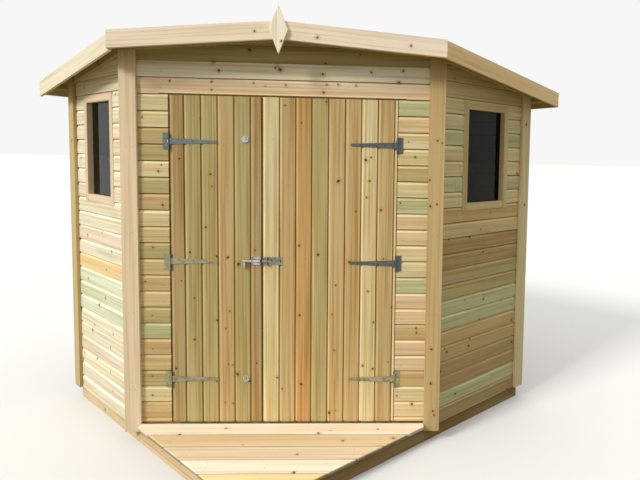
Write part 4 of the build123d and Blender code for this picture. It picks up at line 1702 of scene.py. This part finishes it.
@dataclass
class Roof:
    """Roof boards, fascias, finial and felt."""

    board_pitch: float = 0.115
    board_gap: float = 0.002
    finial_round: float = 0.0015
    sheet: float = 0.90
    overlap: float = 0.05
    lap: float = 0.0015
    ridge_width: float = 0.180
    clout_radius: float = 0.004
    clout_height: float = 0.0008
    clout_pitch: float = 0.110
    clout_count: int = 16
    clout_edge: float = 0.030
    ridge_clout_edge: float = 0.020

    def build(self) -> None:
        """Dress the roof."""
        for side, seed in ((Side.LEFT, 127), (Side.RIGHT, 131)):
            direction = Vector((side.sense * DIAGONAL, DIAGONAL, 0.0))
            SawnSlab(f"{side.value}_roof_boards", f"roof_panel_{side.value}", "roof_boards", direction,
                     self.board_pitch, self.board_gap, Finishes.ROOF_BOARD, "thtohbth", seed).build()
        fascias = TimberPile("roof_fascias", Finishes.TRIM, 137)
        fascias.dress("front_fascias", Tone.BLUSH)
        fascias.dress("side_fascias", Tone.CREAM, Tone.APRICOT)
        fascias.dress("back_fascias", Tone.STRAW, Tone.HONEY)
        fascias.deliver("cabin", "fascia", "front_fascias", "side_fascias", "back_fascias")
        finial = TimberPile("apex_finial", Finishes.TRIM, 139)
        for solid in node_solids("finial"):
            face = Face(centre(solid), UP, -RIGHT)
            ease(solid, self.finial_round)
            finial.lay(solid, face, Tone.CREAM, placed=True)
        finial.deliver("cabin", "finial", "finial")
        self.felt()

    def felt(self) -> None:
        """Lay the felt in sheets from the eaves up, with a strip over the ridge and clouts on the laps."""
        sheets = bmesh.new()
        clouts = Heads("felt_clouts", Finishes.NAIL, "cabin", "felt", self.clout_radius, self.clout_height)
        for side in Side:
            for fall in node_solids("roof_felt"):
                slice_off(fall, Cut(Vector(), -side.out))
                if fall.faces:
                    eaves = max(vert.co.dot(side.out) for vert in fall.verts)
                    self.lay_sheets(fall, sheets, side.out, eaves)
                    self.clout(fall, clouts, side.out, eaves)
                fall.free()
        deliver_mesh("felt_sheets", sheets, Finishes.FELT, "cabin", "felt", "roof_felt")
        clouts.deliver()

    def lap_line(self, eaves: float) -> float:
        """Distance from the ridge at which the lower sheet ends."""
        return eaves - self.sheet * DIAGONAL

    def lay_sheets(self, fall: bmesh.types.BMesh, sheets: bmesh.types.BMesh, out: Vector,
                   eaves: float) -> None:
        """Cut one fall into sheets and the half of the ridge strip.

        Args:
            fall: felt of the fall.
            sheets: mesh that the sheets are added to.
            out: direction from the ridge to the eaves.
            eaves: reach of the fall from the ridge.
        """
        line = self.lap_line(eaves)
        for inner, outer, rise in (
            (line, eaves, 0.0), (0.0, line + self.overlap, self.lap),
            (0.0, self.ridge_width / 2, 2 * self.lap),
        ):
            sheet = fall.copy()
            if inner > 0:
                slice_off(sheet, Cut(out * inner, -out))
            if outer < eaves:
                slice_off(sheet, Cut(out * outer, out))
            bmesh.ops.translate(sheet, verts=sheet.verts, vec=UP * rise)
            join(sheets, sheet)

    def clout(self, fall: bmesh.types.BMesh, clouts: Heads, out: Vector, eaves: float) -> None:
        """Drive a row of clout nails along the lap and the ridge strip.

        Args:
            fall: felt of the fall.
            clouts: the nails.
            out: direction from the ridge to the eaves.
            eaves: reach of the fall from the ridge.
        """
        tree = BVHTree.FromBMesh(fall)
        lap = self.lap_line(eaves) + self.overlap - self.clout_edge
        for across, rise in ((lap, self.lap), (self.ridge_width / 2 - self.ridge_clout_edge, 2 * self.lap)):
            for step in range(-self.clout_count, self.clout_count + 1):
                start = out * across + BACK * (step * self.clout_pitch) + UP * BEYOND
                place, normal, _, _ = tree.ray_cast(start, -UP)
                if place is not None:
                    clouts.drive(place + UP * rise, normal)


@dataclass(frozen=True)
class Hinges:
    """The hinges of one leaf, with the place of their pins across the doorway."""

    side: Side
    axis: float
    finish: ZincFinish

    def inwards(self, reach: float) -> float:
        """Place across the doorway that lies a reach from the pins towards the middle."""
        return self.axis - self.side.sense * reach


@dataclass
class Ironwork:
    """Hinges, bolt, keep and buttons, with their screws."""

    hinges: tuple[Hinges, ...] = (
        Hinges(Side.LEFT, -0.633, Finishes.GALVANISED),
        Hinges(Side.RIGHT, 0.623, Finishes.GALVANISED_DARK),
    )
    heights: tuple[float, ...] = (0.257, 0.931, 1.597)
    plate_screws: tuple[float, ...] = (-0.036, -0.014, 0.014, 0.036)
    plate_reach: float = 0.017
    strap_screws: tuple[tuple[float, float], ...] = (
        (0.025, -0.008), (0.055, 0.008), (0.130, 0.0), (0.200, 0.0),
    )
    taper_start: float = 0.030
    root_half: float = 0.0162
    tip_reach: float = 0.262
    tip_half: float = 0.007
    slot_place: float = -0.0235
    slot_size: tuple[float, float, float] = (0.008, 0.0008, 0.018)
    bolt_height: float = 0.937
    barrel_screws: tuple[tuple[float, float], ...] = (
        (-0.179, 0.016), (-0.179, -0.016), (-0.141, 0.016), (-0.141, -0.016),
    )
    keep_screws: tuple[tuple[float, float], ...] = ((-0.055, 0.015), (-0.055, -0.015))
    screw_radius: float = 0.0042
    bolt_screw_radius: float = 0.003
    screw_height: float = 0.0016
    screw_sides: int = 10
    screw_dimple: float = 0.0008

    def build(self) -> None:
        """Finish the ironwork and drive the screws."""
        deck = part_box("floor_boards")[1].z
        self.bolt(deck + self.bolt_height)
        for hinges in self.hinges:
            self.plates(hinges)
            self.taper(hinges)
            self.screw_hinges(hinges, deck)
        for node, body, places in (("bolt_barrel", "left_door", self.barrel_screws),
                                   ("bolt_keep", "right_door", self.keep_screws)):
            screws = self.screws(f"{node}_screws", body, Finishes.DULL_ZINC, self.bolt_screw_radius)
            for across, rise in places:
                screws.drive(front_of(node, across, deck + self.bolt_height + rise), FRONT)
            screws.deliver()

    def bolt(self, height: float) -> None:
        """Finish the bolt, its keep and the buttons, and lay a dark plate on the keep as painted shade for
        its slot.

        Args:
            height: height of the bolt's middle over the ground.
        """
        for node in ("bolt_barrel", "bolt_rod", "door_buttons"):
            paint_node(node, Finishes.BRIGHT_ZINC)
        paint_node("bolt_keep", Finishes.DULL_ZINC)
        # A thin dark plate stands for the slot's hole: painted shade
        slot, half = front_of("bolt_keep", self.slot_place, height), Vector(self.slot_size) / 2
        deliver_mesh("keep_slot", block(slot - half, slot + half), Finishes.NAIL, "right_door", "ironwork")

    def plates(self, hinges: Hinges) -> None:
        """Finish the plates of one leaf's hinges.

        Args:
            hinges: the hinges of the leaf.
        """
        mesh = bmesh.new()
        for solid in node_solids("hinge_plates"):
            if centre(solid).x * hinges.side.sense > 0:
                join(mesh, solid)
            else:
                solid.free()
        name = f"{hinges.side.value}_plates"
        deliver_mesh(name, mesh, hinges.finish, "cabin", "ironwork", "hinge_plates")

    def taper(self, hinges: Hinges) -> None:
        """Cut the straps of one leaf to their long taper.

        Args:
            hinges: the hinges of the leaf.
        """
        mesh = bmesh.new()
        name, body = f"{hinges.side.value}_tapered_straps", f"{hinges.side.value}_door"
        node = f"{hinges.side.value}_hinge_straps"
        run, drop = self.tip_reach - self.taper_start, self.root_half - self.tip_half
        start = hinges.inwards(self.taper_start)
        for solid in node_solids(node):
            middle = (min(vert.co.z for vert in solid.verts) + max(vert.co.z for vert in solid.verts)) / 2
            for turn in (-1.0, 1.0):
                root = Vector((start, 0.0, middle + turn * self.root_half))
                slant = Vector((-hinges.side.sense * drop, 0.0, turn * run)).normalized()
                slice_off(solid, Cut(root, slant))
            join(mesh, solid)
        deliver_mesh(name, mesh, hinges.finish, body, "ironwork", node)

    def screw_hinges(self, hinges: Hinges, deck: float) -> None:
        """Screw the plates of one leaf's hinges to the wall and the straps to the leaf.

        Args:
            hinges: the hinges of the leaf.
            deck: height of the deck's top.
        """
        side = hinges.side.value
        plates = self.screws(f"{side}_plate_screws", "cabin", hinges.finish, self.screw_radius)
        straps = self.screws(f"{side}_strap_screws", f"{side}_door", hinges.finish, self.screw_radius)
        for height in self.heights:
            for rise in self.plate_screws:
                across = hinges.inwards(-self.plate_reach)
                plates.drive(front_of("hinge_plates", across, deck + height + rise), FRONT)
            for reach, rise in self.strap_screws:
                across = hinges.inwards(reach)
                straps.drive(front_of(f"{side}_hinge_straps", across, deck + height + rise), FRONT)
        straps.deliver()
        plates.deliver()

    def screws(self, name: str, body: str, finish: Finish, radius: float) -> Heads:
        """Start a set of screws on a body."""
        return Heads(name, finish, body, "ironwork", radius, self.screw_height, self.screw_sides,
                     self.screw_dimple)


@dataclass
class Studio:
    """Pale floor, soft light and the camera at the photograph's place."""

    picture_width: float = 640.0
    picture_height: float = 480.0
    focal_pixels: float = 591.247
    principal_x: float = 429.51
    principal_y: float = 199.68
    place: tuple[float, float, float] = (0.6384, -3.9864, 1.6658)
    yaw: float = 0.05088
    pitch: float = 0.07619
    roll: float = -0.02056
    sensor: float = 36.0
    floor_size: float = 240.0
    floor_pale: Colour = srgb(222, 222, 220)
    floor_dim: Colour = srgb(104, 97, 68)
    floor_roughness: float = 0.9
    white: Colour = (1.0, 1.0, 1.0, 1.0)
    background: float = 0.93
    horizon: float = 0.42
    zenith: float = 1.25
    key: float = 2.3
    key_colour: tuple[float, float, float] = (1.0, 0.98, 0.94)
    key_angle: float = math.radians(15)
    key_direction: tuple[float, float, float] = (0.62, 0.58, -0.60)

    def build(self) -> None:
        """Set up floor, lights and camera."""
        bpy.context.scene.view_settings.view_transform = "Standard"
        self.floor()
        self.sky()
        self.lamp()
        self.camera()

    def seen(self, sheet: NodeSheet) -> Socket:
        """Mark what the camera sees, directly, in a gloss or through glass.

        Args:
            sheet: the node tree.

        Returns:
            The mask.
        """
        path = sheet.add("ShaderNodeLightPath").outputs
        mirrored = sheet.math("MAXIMUM", path["Is Glossy Ray"], path["Is Transmission Ray"])
        return sheet.math("MAXIMUM", path["Is Camera Ray"], mirrored)

    def floor(self) -> None:
        """Lay the floor, which is pale to look at and throws back no more light than turf would."""
        mesh = bmesh.new()
        bmesh.ops.create_grid(mesh, x_segments=1, y_segments=1, size=self.floor_size / 2)
        data = bpy.data.meshes.new("studio_floor")
        mesh.to_mesh(data)
        mesh.free()
        floor = bpy.data.objects.new("studio_floor", data)
        bpy.context.scene.collection.objects.link(floor)
        material = bpy.data.materials.new("studio floor")
        material.use_nodes = True
        sheet = NodeSheet(material.node_tree)
        shader = material.node_tree.nodes["Principled BSDF"]
        sheet.feed(shader.inputs["Base Color"], sheet.mix(self.seen(sheet), self.floor_dim, self.floor_pale))
        sheet.feed(shader.inputs["Roughness"], self.floor_roughness)
        data.materials.append(material)

    def sky(self) -> None:
        """Light the object from all round, most from above."""
        world = bpy.data.worlds.new("studio")
        bpy.context.scene.world = world
        world.use_nodes = True
        sheet = NodeSheet(world.node_tree)
        sheet.tree.nodes.clear()
        height = sheet.height(sheet.add("ShaderNodeTexCoord").outputs["Generated"])
        dome = sheet.ramp(height, 0.0, 1.0, self.horizon, self.zenith)
        strength = sheet.between(self.seen(sheet), dome, self.background)
        background = sheet.add("ShaderNodeBackground", {"Color": self.white, "Strength": strength})
        sheet.add("ShaderNodeOutputWorld", {"Surface": background.outputs[0]})

    def lamp(self) -> None:
        """Hang the key lamp to the upper left of the doors."""
        lamp = bpy.data.lights.new("key", "SUN")
        lamp.energy = self.key
        lamp.angle = self.key_angle
        lamp.color = self.key_colour
        key = bpy.data.objects.new("key", lamp)
        bpy.context.scene.collection.objects.link(key)
        key.rotation_euler = Vector(self.key_direction).to_track_quat("-Z", "Y").to_euler()

    def camera(self) -> None:
        """Place the camera where the photograph was taken."""
        data = bpy.data.cameras.new("camera")
        data.sensor_width = self.sensor
        data.lens = self.focal_pixels / self.picture_width * self.sensor
        data.shift_x = (self.picture_width / 2 - self.principal_x) / self.picture_width
        data.shift_y = (self.principal_y - self.picture_height / 2) / self.picture_width
        camera = bpy.data.objects.new("camera", data)
        bpy.context.scene.collection.objects.link(camera)
        turn = (Matrix.Rotation(-self.yaw, 4, "Z") @ Matrix.Rotation(math.pi / 2 - self.pitch, 4, "X")
                @ Matrix.Rotation(-self.roll, 4, "Z"))
        camera.matrix_world = Matrix.Translation(self.place) @ turn
        bpy.context.scene.camera = camera


def main() -> None:
    """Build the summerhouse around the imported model."""
    logging.basicConfig(level=logging.INFO, format="%(name)s: %(message)s")
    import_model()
    Studio().build()
    Walls().build()
    DoorLeaf(Side.LEFT, (-0.555, -0.463, -0.373, -0.283, -0.194), "bvvtvb", 61).build()
    DoorLeaf(Side.RIGHT, (-0.035, 0.055, 0.144, 0.236, 0.329, 0.419, 0.510, 0.603), "stovttsth", 67).build()
    Window(Side.LEFT, Tone.ROSE, 71).build()
    Window(Side.RIGHT, Tone.HONEY, 73).build()
    Carcass().build()
    Roof().build()
    Ironwork().build()
    bpy.context.view_layer.update()


if __name__ == "__main__":
    main()
